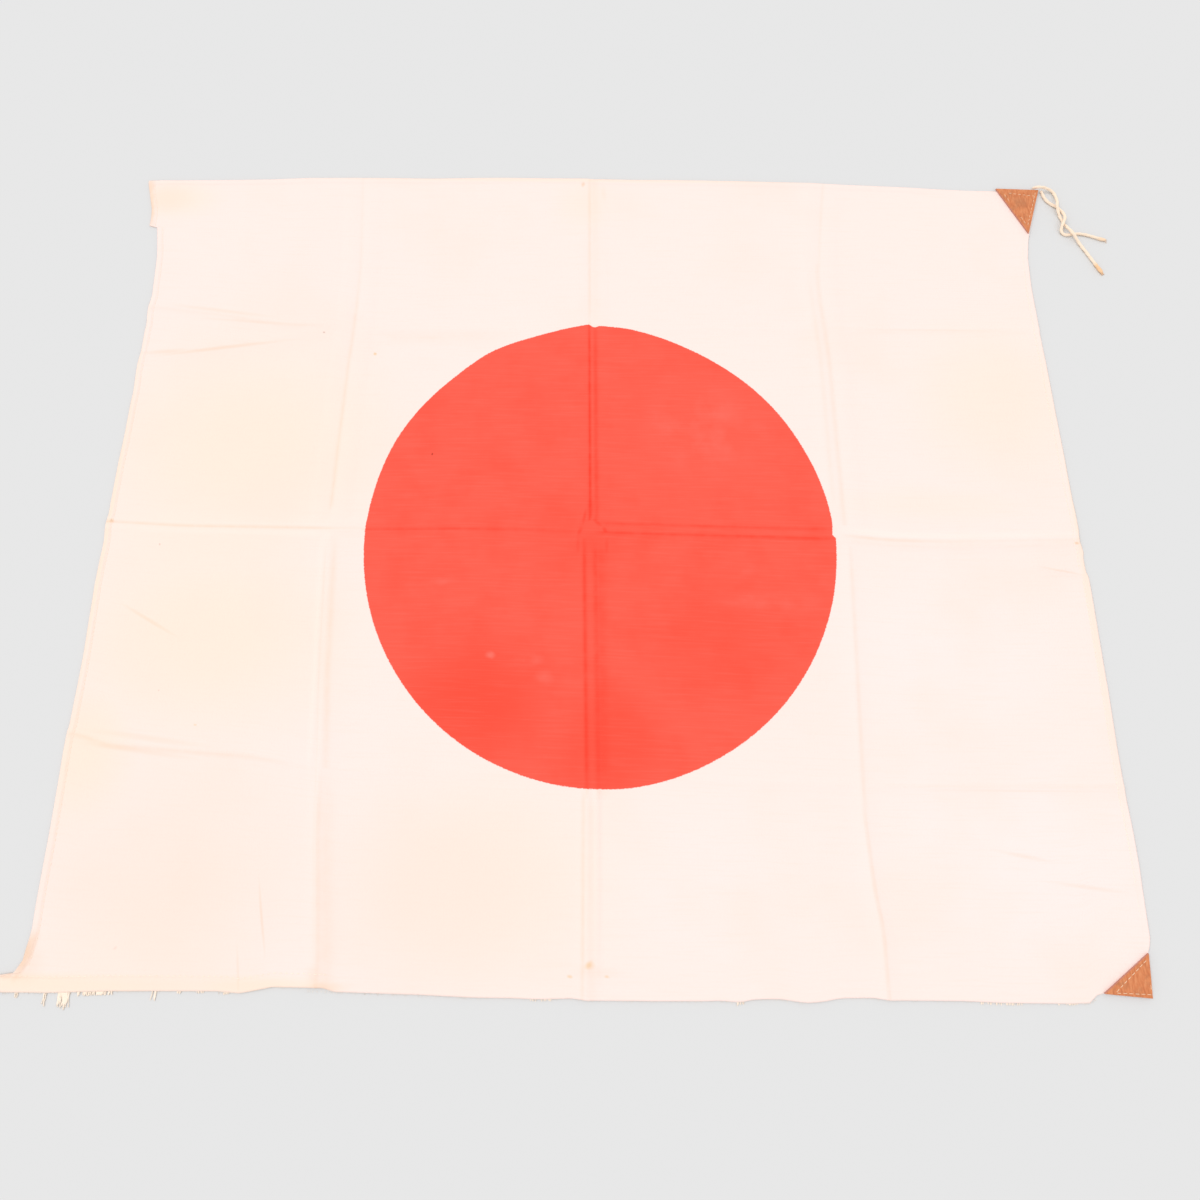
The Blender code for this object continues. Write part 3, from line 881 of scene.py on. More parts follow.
@dataclass
class FlagSheet:
    """The cotton sheet with its hems, creases, wrinkles and dyed disc."""

    plan: CutPlan = field(default_factory=CutPlan)
    disc: Disc = field(default_factory=Disc)
    thickness: float = 0.8
    hem_thickness: float = 1.2
    patched_thickness: float = 1.0
    side_hem: float = 4.0
    bottom_hem: float = 8.0
    top_hem: float = 5.0
    corner_reach: float = 60.0
    undulation: float = 0.3
    calm: float = 0.7
    wide_waves: tuple[float, float, float] = (38.0, 46.0, 3.0)
    fine_waves: tuple[float, float, float] = (15.0, 19.0, 8.0)
    fine_share: float = 0.35
    ironed: float = 0.4
    column_steps: Line = (
        (-412, 1), (-404, 6.6), (-240, 1.4), (-214, 1.4), (-184, 6.6), (-20, 1.3), (0, 1.3), (20, 6.6),
        (196, 1.4), (214, 1.4), (232, 6.6), (404, 1), (412, 1),
    )
    row_steps: Line = (
        (-346, 1.2), (-334, 6.2), (-202, 1.5), (-190, 1.5), (-178, 6.2), (-120, 1.8), (-102, 6.2),
        (-42, 1.5), (-30, 4), (-14, 1.2), (0, 1.2), (14, 6.2), (178, 1.5), (190, 1.5), (202, 6.2),
        (285, 1.3), (293, 6.2), (337, 1.2), (346, 1.2),
    )
    # Soiling and painted shade along the old folds and hems where a strength is above nought, painted
    # highlight where it is below
    # Offset from the fold, half width, and strength at places along it
    soil_shade_lines: tuple[SoilShadeLine, ...] = (
        *soil_and_shade(
            True, -214.0,
            (0, 1.6, ((20, 0.45), (200, 0.4), (240, 0.2), (345, 0.12))),
            (-2.6, 1.1, ((-346, 0.1), (-200, 0.15), (-30, 0.2), (-10, 0.0))),
            (4.4, 2.6, ((-190, 0.2), (-150, 0.38), (-30, 0.38), (-5, 0.0))),
            (1, 2.6, ((-346, 0.4), (-220, 0.35), (-190, 0.0))),
            (7, 6, ((-346, 0.3), (-220, 0.22), (-190, 0.0))),
        ),
        *soil_and_shade(
            True, 0.0,
            (-0.6, 1.5, ((198, 0.2), (215, 0.42), (320, 0.5), (345, 0.3))),
            (4, 4.5, ((198, 0.1), (215, 0.16), (345, 0.2))),
            (-1, 1.2, ((8, 0.6), (30, 0.9), (170, 0.85), (196, 0.6), (199, 0.0))),
            (4.4, 1.9, ((8, 0.4), (30, 0.5), (170, 0.5), (192, 0.3), (196, 0.0))),
            (-1, 1.6, ((-206, 0.35), (-180, 0.6), (-20, 0.7), (-8, 0.3))),
            (8, 2.2, ((-206, 0.3), (-180, 0.42), (-20, 0.45), (-10, 0.0))),
            (12.5, 5, ((-206, 0.15), (-180, 0.25), (-20, 0.25), (-10, 0.0))),
            (-3.8, 1.6, ((-346, 0.3), (-320, 0.5), (-215, 0.45), (-206, 0.3), (-196, 0.0))),
            (2.5, 4, ((-346, 0.15), (-215, 0.22), (-200, 0.0))),
        ),
        *soil_and_shade(
            True, 214.0,
            (0.3, 1.3, ((255, 0.15), (300, 0.28), (346, 0.2))),
            (-1.6, 2.2, ((10, 0.25), (30, 0.3), (200, 0.3), (255, 0.2), (262, 0.0))),
            (-9.3, 2, ((25, 0.0), (40, 0.2), (180, 0.22), (230, 0.1), (250, 0.0))),
            (2, 1.6, ((-212, 0.2), (-180, 0.34), (-30, 0.3), (-8, 0.1))),
            (0.8, 1.4, ((-346, 0.3), (-330, 0.45), (-225, 0.45), (-205, 0.2))),
        ),
        *soil_and_shade(
            False, -190.0,
            (-1.8, 1.5, ((-410, 0.3), (-390, 0.4), (-260, 0.3), (-235, 0.0))),
            (0.8, 1.3, ((220, 0.0), (240, 0.12), (400, 0.15), (412, 0.1))),
        ),
        *soil_and_shade(
            False, 0.0,
            (-0.9, 1.2, ((-412, 0.58), (-230, 0.58), (-205, 0.25), (-188, 0.2))),
            (2.2, 1, ((-412, -0.1), (-230, -0.15), (-205, 0.0))),
            (-5.2, 2.6, ((-412, -0.2), (-230, -0.3), (-205, 0.0))),
            (-2, 1.1, ((-188, 0.4), (-110, 0.5), (-50, 0.3), (-14, 0.15), (-8, 0.0))),
            (-2.4, 1.4, ((4, 0.0), (14, 0.5), (190, 0.6), (203, 0.3), (206, 0.0))),
            (5.4, 1.5, ((4, 0.0), (14, 0.4), (190, 0.45), (203, 0.2), (206, 0.0))),
            (0.9, 1.6, ((208, 0.0), (225, 0.58), (260, 0.52), (320, 0.2), (412, 0.2))),
            (-2.8, 2.4, ((208, 0.0), (225, 0.15), (300, 0.1), (412, 0.1))),
            (5.2, 2.8, ((208, 0.0), (225, -0.24), (300, -0.2), (412, -0.1))),
        ),
        *soil_and_shade(
            False, 190.0,
            (-1.5, 1.6, ((-410, 0.15), (-260, 0.15), (-240, 0.0))),
            (-7, 7, ((-190, 0.0), (-175, 0.16), (-100, 0.16), (-60, 0.0))),
            (-3.6, 1.3, ((230, 0.0), (250, 0.08), (400, 0.08))),
        ),
        *soil_and_shade(True, -407.4, (0, 0.6, ((-330, 0.35), (100, 0.22), (200, 0.08), (300, 0.0)))),
        *soil_and_shade(True, 407.4, (0, 0.6, ((-300, 0.08), (0, 0.18), (290, 0.14), (300, 0.0)))),
        *soil_and_shade(False, -337.6, (0, 0.9, ((-412, 0.45), (-396, 0.4), (-380, 0.15), (-215, 0.0)))),
    )
    wrinkles: tuple[Wrinkle, ...] = (
        Wrinkle(((-402, 159), (-357, 163), (-329, 169), (-273, 175), (-249, 182)), 1.2, 8.0),
        Wrinkle(((-384, -65), (-327, -95)), 1.0, 8.0),
        Wrinkle(((365, -28), (413, -36)), 1.4, 5.0),
        Wrinkle(((305, -246), (353, -254)), 0.8, 8.0),
        Wrinkle(((336, -266), (412, -275)), 0.9, 8.0),
        Wrinkle(((-243, -267), (-231, -324)), 0.8, 4.0),
        Wrinkle(((-230, 203), (-208, 196)), 0.9, 4.0),
        Wrinkle(((-86, -112), (163, -113)), 0.6, 3.0),
        Wrinkle(((-222, -8), (-215, -130), (-212, -200)), 0.9, 4.0),
        Wrinkle(((7, -13), (8, -120), (10, -338)), 0.9, 4.0),
        Wrinkle(((-4, 13), (-9, 3), (-11, -12)), 0.9, 4.0),
        Wrinkle(((1, 11), (12, 3), (17, -12)), 0.9, 4.0),
    )

    @staticmethod
    def graded(steps: Line) -> np.ndarray:
        """Spreads grid lines, each stretch with its own spacing.

        Args:
            steps: Where each stretch starts and how far apart its lines lie.

        Returns:
            Positions of all the lines.
        """
        marks = [np.array([steps[0][0]], float)]
        for (start, step), (end, _) in zip(steps, steps[1:]):
            count = max(1, math.ceil((end - start) / step))
            marks.append(np.linspace(start, end, count + 1)[1:])
        return np.concatenate(marks)

    @staticmethod
    def read(points: tuple, at: np.ndarray, item: int = 1, soft: float = 0.0) -> np.ndarray:
        """Reads one value of a listed line.

        Args:
            points: The line's points, each starting with its place along the line.
            at: Places to read.
            item: Which value of a point is read.
            soft: Distance over which a bend in the line is rounded off.

        Returns:
            The values at those places.
        """
        places = [point[0] for point in points]
        values = [point[item] for point in points]
        spread = np.linspace(-soft, soft, 7)
        return np.mean([np.interp(at + shift, places, values) for shift in spread], axis=0)

    def ridge(self, offset: np.ndarray, height: np.ndarray, reach: tuple[float, float]) -> np.ndarray:
        """Gives the height of a crease that stands up sharply along its line.

        Args:
            offset: Distances from the line, below nought to its left or below it.
            height: Height along the line.
            reach: How far it spreads on either side.

        Returns:
            Heights of the cloth.
        """
        side = np.where(offset < 0.0, reach[0], reach[1])
        return height * (1.0 - np.clip(np.abs(offset) / side, 0.0, 1.0)) ** 2

    def folds(self, points: Points) -> np.ndarray:
        """Gives the height of the six old fold lines.

        Args:
            points: Places on the cloth.

        Returns:
            Heights, one for each place.
        """
        plan, columns, rows = self.plan, points.columns, points.rows
        above = np.clip((rows + plan.crossing_half) / (2.0 * plan.crossing_half), 0.0, 1.0)
        upright = []
        for column, line, reach in (
            (plan.columns[1], plan.left_fold, plan.left_reach),
            (plan.columns[2], plan.centre_fold, plan.centre_reach),
            (plan.columns[3], plan.right_fold, plan.right_reach),
        ):
            offset = columns - column
            height = self.read(line, rows, 2)
            share = np.clip(np.abs(offset) / plan.shoulder_reach, 0.0, 1.0)
            pressed = height * plan.pressed_share * share * (1.0 - share)
            upright.append(pressed * above + self.ridge(offset, height, reach) * (1.0 - above))
        down = np.maximum.reduce(upright)
        slope = (np.abs(rows) - plan.middle_top_half) / (plan.middle_reach - plan.middle_top_half)
        middle = self.read(plan.middle_fold, columns, 2) * (1.0 - np.clip(slope, 0.0, 1.0)) ** 2
        across = np.maximum.reduce([
            self.ridge(rows - plan.rows[1], self.read(plan.lower_fold, columns, 2), plan.cross_reach),
            middle,
            self.ridge(rows - plan.rows[3], self.read(plan.upper_fold, columns, 2), plan.cross_reach),
        ])
        total = np.maximum(down, across) + plan.crossing_share * np.minimum(down, across)
        return self.ironed * total

    def swell(self, points: Points) -> np.ndarray:
        """Gives the low swell of each panel, nought at its creases.

        Args:
            points: Places on the cloth.

        Returns:
            Heights, one for each place.
        """
        plan = self.plan
        total = np.zeros(points.x.shape)
        for low, high, heights in zip(plan.rows, plan.rows[1:], plan.panel_swell):
            rise = np.clip((points.rows - low) / (high - low), 0.0, 1.0)
            for left, right, height in zip(plan.columns, plan.columns[1:], heights):
                side = np.clip((points.columns - left) / (right - left), 0.0, 1.0)
                total += height * (16.0 * side * (1.0 - side) * rise * (1.0 - rise)) ** 2
        return total

    def rough(self, points: Points) -> np.ndarray:
        """Gives the cloth's small unevenness.

        Args:
            points: Places on the cloth.

        Returns:
            Heights from nought to about twice the undulation.
        """
        out = np.full(points.x.shape, self.calm)
        for (across, up, level), share in ((self.wide_waves, 1.0), (self.fine_waves, self.fine_share)):
            for index, x in np.ndenumerate(points.x):
                out[index] += share * noise.noise(Vector((x / across, points.y[index] / up, level)))
        return self.undulation * np.maximum(out, 0.0)

    def relief(self, points: Points) -> np.ndarray:
        """Returns the height of the cloth without its wrinkles at places on it."""
        return self.folds(points) + self.swell(points) + self.rough(points)

    def hem_share(self, points: Points) -> np.ndarray:
        """Gives the share of the hem's extra thickness.

        Args:
            points: Places on the cloth.

        Returns:
            Shares from nought to one.
        """
        plan = self.plan
        from_left = points.columns - plan.columns[0]
        from_right = plan.columns[-1] - points.columns
        from_bottom = points.rows - plan.rows[0]
        from_top = plan.rows[-1] - points.rows
        hemmed = (
            (np.minimum(from_left, from_right) <= self.side_hem)
            | (from_bottom <= self.bottom_hem)
            | (from_top <= self.top_hem)
        )
        corner = from_right + np.minimum(from_bottom, from_top)
        fade = np.clip(corner / self.corner_reach - 1.0, 0.0, 1.0)
        patched = (self.patched_thickness - self.thickness) / (self.hem_thickness - self.thickness)
        return np.maximum(np.where(hemmed, fade, 0.0), patched * (1.0 - fade))

    def placed(self, columns: np.ndarray, rows: np.ndarray, rounding: float = 1.0) -> Points:
        """Lays places of the plain cut on the flag.

        Args:
            columns: Plain positions along the long side.
            rows: Plain positions up the flag.
            rounding: Share of the lines' rounding that is used.

        Returns:
            The places.
        """
        plan = self.plan
        upright, level = plan.guides
        out = []
        for at, along, marks_at, lines in (
            (columns, rows, plan.columns, upright), (rows, columns, plan.rows, level)
        ):
            guides = [self.read(line, along.ravel(), soft=soft * rounding) for line, soft in lines]
            pairs = zip(at.ravel(), np.transpose(guides))
            out.append(np.reshape([np.interp(one, marks_at, guide) for one, guide in pairs], at.shape))
        return Points(columns, rows, *out)

    def build(self, material: Material) -> Object:
        """Builds the sheet.

        Args:
            material: The cotton.

        Returns:
            The sheet's object.
        """
        columns = self.graded(self.column_steps)
        rows = self.graded(self.row_steps)
        bpy.ops.object.select_all(action="DESELECT")
        bpy.ops.mesh.primitive_grid_add(
            x_subdivisions=len(columns) - 1, y_subdivisions=len(rows) - 1, size=2.0
        )
        sheet = bpy.context.object
        sheet.name = "flag_sheet"
        flat = np.array([vertex.co[:2] for vertex in sheet.data.vertices])
        across = np.rint((flat[:, 0] + 1.0) * 0.5 * (len(columns) - 1)).astype(int)
        up = np.rint((flat[:, 1] + 1.0) * 0.5 * (len(rows) - 1)).astype(int)

        points = self.placed(*np.meshgrid(columns, rows))
        height = self.relief(points) + sum(wrinkle.over(points) for wrinkle in self.wrinkles)
        placed = np.stack([points.x, points.y, height], axis=2)[up, across]
        sheet.data.vertices.foreach_set("co", (placed * MM).ravel())

        cut = np.stack([points.columns, points.rows, self.disc.outside(points)], axis=2)
        add_values(sheet, "cut", cut[up, across] * MM)
        # Soiling, painted shade and painted highlight along the old folds and hems, for the cloth's
        # material
        lines = [line.over(points) for line in self.soil_shade_lines]
        add_values(sheet, "soil_and_painted_light", (np.maximum.reduce(lines) + np.minimum.reduce(lines))[up, across])
        hem = sheet.vertex_groups.new(name="hem")
        for index, share in enumerate(self.hem_share(points)[up, across]):
            hem.add([index], float(share), "REPLACE")
        solidify = sheet.modifiers.new("Thickness", "SOLIDIFY")
        solidify.thickness = self.hem_thickness * MM
        solidify.offset = 1.0
        solidify.vertex_group = hem.name
        solidify.thickness_vertex_group = self.thickness / self.hem_thickness
        bpy.ops.object.modifier_apply(modifier=solidify.name)
        dress(sheet, material)
        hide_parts("flag_cloth")
        return sheet


class Corner(Enum):
    """The two patched corners of the flag."""

    TOP = "top"
    BOTTOM = "bottom"


@dataclass
class CornerPatch:
    """One leather corner patch with its eased edges and running stitches."""

    corner: Corner
    corners: Line
    seams: tuple[Line, ...]
    low: float = 1.06
    high: float = 2.9
    cuts: int = 36
    edge: float = 0.35
    groove: float = 0.28
    groove_half: float = 1.1
    dimple: float = 0.05
    dimple_size: float = 6.0
    stitch_length: float = 3.0
    stitch_pitch: float = 4.4
    stitch_radius: float = 0.24
    stitch_sink: float = 0.08
    wobble: float = 0.12
    wobble_rate: float = 0.37

    @property
    def name(self) -> str:
        """Name of the patch's piece."""
        return f"leather_{self.corner.value}"

    def leather(self, material: Material) -> None:
        """Cuts the patch, eases its edges and presses the seams into it.

        Args:
            material: The leather.
        """
        bpy.ops.object.select_all(action="DESELECT")
        bpy.ops.mesh.primitive_circle_add(vertices=3, radius=0.02, fill_type="NGON")
        patch = bpy.context.object
        patch.name = self.name
        for vertex, corner in zip(patch.data.vertices, self.corners):
            vertex.co = Vector((*corner, self.low)) * MM
        bpy.ops.object.mode_set(mode="EDIT")
        bpy.ops.mesh.select_all(action="SELECT")
        bpy.ops.mesh.quads_convert_to_tris()
        bpy.ops.mesh.subdivide(number_cuts=self.cuts)
        bpy.ops.mesh.extrude_region_move(
            TRANSFORM_OT_translate={"value": (0.0, 0.0, (self.high - self.low) * MM)}
        )
        bpy.ops.mesh.select_all(action="SELECT")
        bpy.ops.mesh.normals_make_consistent(inside=False)
        bpy.ops.object.mode_set(mode="OBJECT")
        bevel = patch.modifiers.new("Eased edge", "BEVEL")
        bevel.width = self.edge * MM
        bevel.segments = 3
        bevel.limit_method = "ANGLE"
        bpy.ops.object.modifier_apply(modifier=bevel.name)
        for vertex in patch.data.vertices:
            x, y, z = vertex.co / MM
            if z < 0.5 * (self.low + self.high):
                continue
            near = max(0.0, 1.0 - min(off_line(x, y, *seam)[0] for seam in self.seams) / self.groove_half)
            uneven = noise.noise(Vector((x / self.dimple_size, y / self.dimple_size, 1.0)))
            vertex.co.z -= (self.groove * near + self.dimple * (1.0 + uneven)) * MM
        dress(patch, material)
        bpy.ops.object.shade_smooth_by_angle(angle=math.radians(50.0))
        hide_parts(f"leather_patch_{self.corner.value}")

    def stitches(self, material: Material) -> None:
        """Sews the running stitches along the seams.

        Args:
            material: The sewing thread.
        """
        places = []
        for start, end in self.seams:
            run = Vector((end[0] - start[0], end[1] - start[1], 0.0))
            count = max(1, round(run.length / self.stitch_pitch))
            turn = Matrix.Rotation(math.atan2(run.y, run.x), 4, "Z")
            for index in range(count):
                middle = Vector((*start, 0.0)) + run * ((index + 0.5) / count)
                wobble = self.wobble * noise.noise(middle * self.wobble_rate)
                middle.y += wobble
                middle.z = self.high - self.stitch_sink
                turned = Matrix.Rotation(wobble * 0.5, 4, "Z") @ turn
                places.append(Matrix.Translation(middle * MM) @ turned)
        piece = StitchMaker(self.stitch_length, self.stitch_radius).sew(f"{self.name}_stitches", places)
        dress(piece, material)

    def build(self, leather: Material, thread: Material) -> None:
        """Builds the patch of leather and its stitches of thread."""
        self.leather(leather)
        self.stitches(thread)


@dataclass
class StitchMaker:
    """Makes one plump stitch and copies it along a seam."""

    length: float
    radius: float
    sides: int = 8
    taper: float = 0.45
    dip: float = 0.9

    def one(self) -> Tube:
        """Models one stitch along X, its ends tapered and dipping into the cloth.

        Returns:
            Its points in metres and its faces.
        """
        bpy.ops.object.select_all(action="DESELECT")
        bpy.ops.mesh.primitive_cylinder_add(
            vertices=self.sides,
            radius=self.radius * MM,
            depth=self.length * MM,
            rotation=(0.0, math.pi / 2.0, 0.0),
        )
        stitch = bpy.context.object
        bpy.ops.object.transform_apply(location=True, rotation=True, scale=True)
        half = self.length * MM * 0.5
        bpy.ops.object.mode_set(mode="EDIT")
        for place in (-0.5, 0.0, 0.5):
            bpy.ops.mesh.select_all(action="SELECT")
            bpy.ops.mesh.bisect(plane_co=(place * half, 0.0, 0.0), plane_no=(1.0, 0.0, 0.0))
        bpy.ops.object.mode_set(mode="OBJECT")
        mesh = stitch.data
        points = np.array([tuple(vertex.co) for vertex in mesh.vertices])
        faces = [tuple(face.vertices) for face in mesh.polygons]
        share = np.abs(points[:, 0]) / half
        points[:, 1:] *= (1.0 - self.taper * share ** 3)[:, None]
        points[:, 2] -= self.radius * MM * self.dip * share ** 2
        bpy.data.objects.remove(stitch)
        bpy.data.meshes.remove(mesh)
        return points, faces

    def sew(self, name: str, places: list[Matrix]) -> Object:
        """Copies the stitch to each place as one piece.

        Args:
            name: Name of the piece.
            places: Where each stitch lies, in metres.

        Returns:
            The joined stitches.
        """
        points, faces = self.one()
        rows = np.c_[points, np.ones(len(points))]
        return join_tubes(name, [((rows @ np.array(place).T)[:, :3] / MM, faces) for place in places])


# Heights of a strand's middle: on the floor, over the other strand and over the patch
LOW = 1.32
OVER = 4.4
OVER_PATCH = 4.7
STRAND_A = (
    (422.3, 342, 1.4), (425.5, 340.5, OVER_PATCH), (430.4, 340.2, OVER_PATCH), (435.1, 339.8, 3.3),
    (439.6, 338.3, 2.0), (442.2, 334.3, 1.7), (442.3, 329.4, 2.7), (441.5, 324.7, OVER),
    (440.8, 319.9, OVER), (441.8, 315.2, 3.0), (443.4, 310.8, 1.5), (445, 306.2, LOW),
    (446.5, 301.5, 1.5), (447.9, 297, 3.0), (449.6, 292.5, OVER), (451.9, 288.2, OVER),
    (454.9, 284.5, 2.7), (457.6, 280.6, 1.5), (460, 276.2, LOW), (462.3, 271.9, LOW), (464.5, 267.5, LOW),
    (466.8, 263.1, LOW), (469, 258.7, LOW), (471.3, 254.3, LOW), (473.6, 249.9, LOW),
)
STRAND_B = (
    (430, 338.7, LOW), (430.9, 334.4, LOW), (432.3, 330.3, LOW), (434.6, 326.6, LOW), (437.8, 323.7, LOW),
    (441.4, 321.3, LOW), (444.6, 318.3, LOW), (446.4, 314.5, 2.1), (446.8, 310.3, 3.3),
    (446, 306.1, OVER), (444.2, 302.2, OVER), (442.5, 298.3, 3.7), (442.2, 294.2, 2.0),
    (444.4, 290.8, LOW), (448.6, 290.3, LOW), (452.9, 291.2, LOW), (457.2, 291.6, LOW),
    (461.6, 291.3, LOW), (465.8, 290.4, LOW), (470, 289, LOW), (474.1, 287.6, LOW), (478.2, 286.2, LOW),
    (482.4, 285, LOW),
)


@dataclass
class TieString:
    """One strand of the string tie, of two plies, with a swollen, frayed free end."""

    label: str
    route: tuple[tuple[float, float, float], ...]
    soiled_end: float
    diameter: float = 2.6
    low: float = LOW
    floor_gap: float = 0.05
    plies: int = 2
    ply_depth: float = 0.19
    pitch: float = 13.0
    worn_length: float = 12.0
    worn_fade: float = 4.0
    swelling: float = 0.16
    first_radii: tuple[float, ...] = (0.75, 0.9, 0.97, 1.0)
    last_radii: tuple[float, ...] = (0.95, 0.88, 0.75, 0.55)
    steps: int = 9
    sides: int = 18
    fray_count: int = 16
    fray_length: float = 3.6
    fray_radii: tuple[float, float] = (0.17, 0.05)
    fray_steps: int = 7
    seed: int = 3

    def centreline(self) -> np.ndarray:
        """Reads the smooth curve through the strand's route.

        Returns:
            Points of the centreline in millimetres.
        """
        ends = [self.route[0], *self.route, self.route[-1]]
        line = []
        for places in zip(ends, ends[1:], ends[2:], ends[3:]):
            a, b, c, d = (np.array(place, float) for place in places)
            for at in np.arange(self.steps) / self.steps:
                line.append(0.5 * (
                    2.0 * b
                    + (c - a) * at
                    + (2.0 * a - 5.0 * b + 4.0 * c - d) * at ** 2
                    + (3.0 * b - a - 3.0 * c + d) * at ** 3
                ))
        line = np.array([*line, self.route[-1]])
        line[:, 2] = np.maximum(line[:, 2], self.low)
        return line

    def build(self, material: Material) -> None:
        """Args:
            material: The string's finish.
        """
        line = self.centreline()
        along = lengths(line)
        length = float(along[-1])
        worn = np.clip((self.worn_length - length + along) / self.worn_fade, 0.0, 1.0)
        radii = self.diameter * 0.5 * (1.0 + self.swelling * worn)
        radii[:len(self.first_radii)] *= self.first_radii
        radii[-len(self.last_radii):] *= self.last_radii
        points, faces = tube(line, radii, self.sides, self.plies, self.ply_depth, self.pitch)
        points[:, 2] = np.maximum(points[:, 2], self.floor_gap)
        strand = mesh_piece(f"string_{self.label}", points, faces)
        add_values(strand, "soil_and_painted_light", np.repeat(worn, self.sides) * self.soiled_end)
        dress(strand, material)
        fray = self.fray(line, material)
        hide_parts(f"tie_strand_{self.label}")
        LOG.info("string %s: %.1f mm long", self.label, length)

    def fray(self, line: np.ndarray, material: Material) -> Object:
        """Spreads loose fibres from the strand's free end.

        Args:
            line: Centreline of the strand.
            material: The string's finish.

        Returns:
            One piece with all the fibres.
        """
        draw = random.Random(self.seed)
        ahead = line[-1] - line[-6]
        ahead /= np.linalg.norm(ahead)
        side = np.cross(ahead, (0.0, 0.0, 1.0))
        at = np.linspace(0.0, 1.0, self.fray_steps)
        tubes = []
        for _ in range(self.fray_count):
            out = draw.uniform(-1.0, 1.0)
            rise = draw.uniform(0.15, 1.0)
            reach = self.fray_length * draw.uniform(0.45, 1.0)
            sway = 0.6 * out + out * 1.7 * at ** 2 + 0.2 * np.sin(at * 9.0 + out * 5.0)
            path = line[-3] + np.outer(at * reach, ahead) + np.outer(sway, side)
            path[:, 2] = np.maximum(0.18, self.low * (1.0 - at ** 1.2) + rise * 0.9 * at * (1.4 - at))
            tubes.append(tube(path, np.linspace(*self.fray_radii, self.fray_steps), 4))
        piece = join_tubes(f"string_{self.label}_fray", tubes)
        add_values(piece, "soil_and_painted_light", np.full(len(piece.data.vertices), self.soiled_end))
        return dress(piece, material)


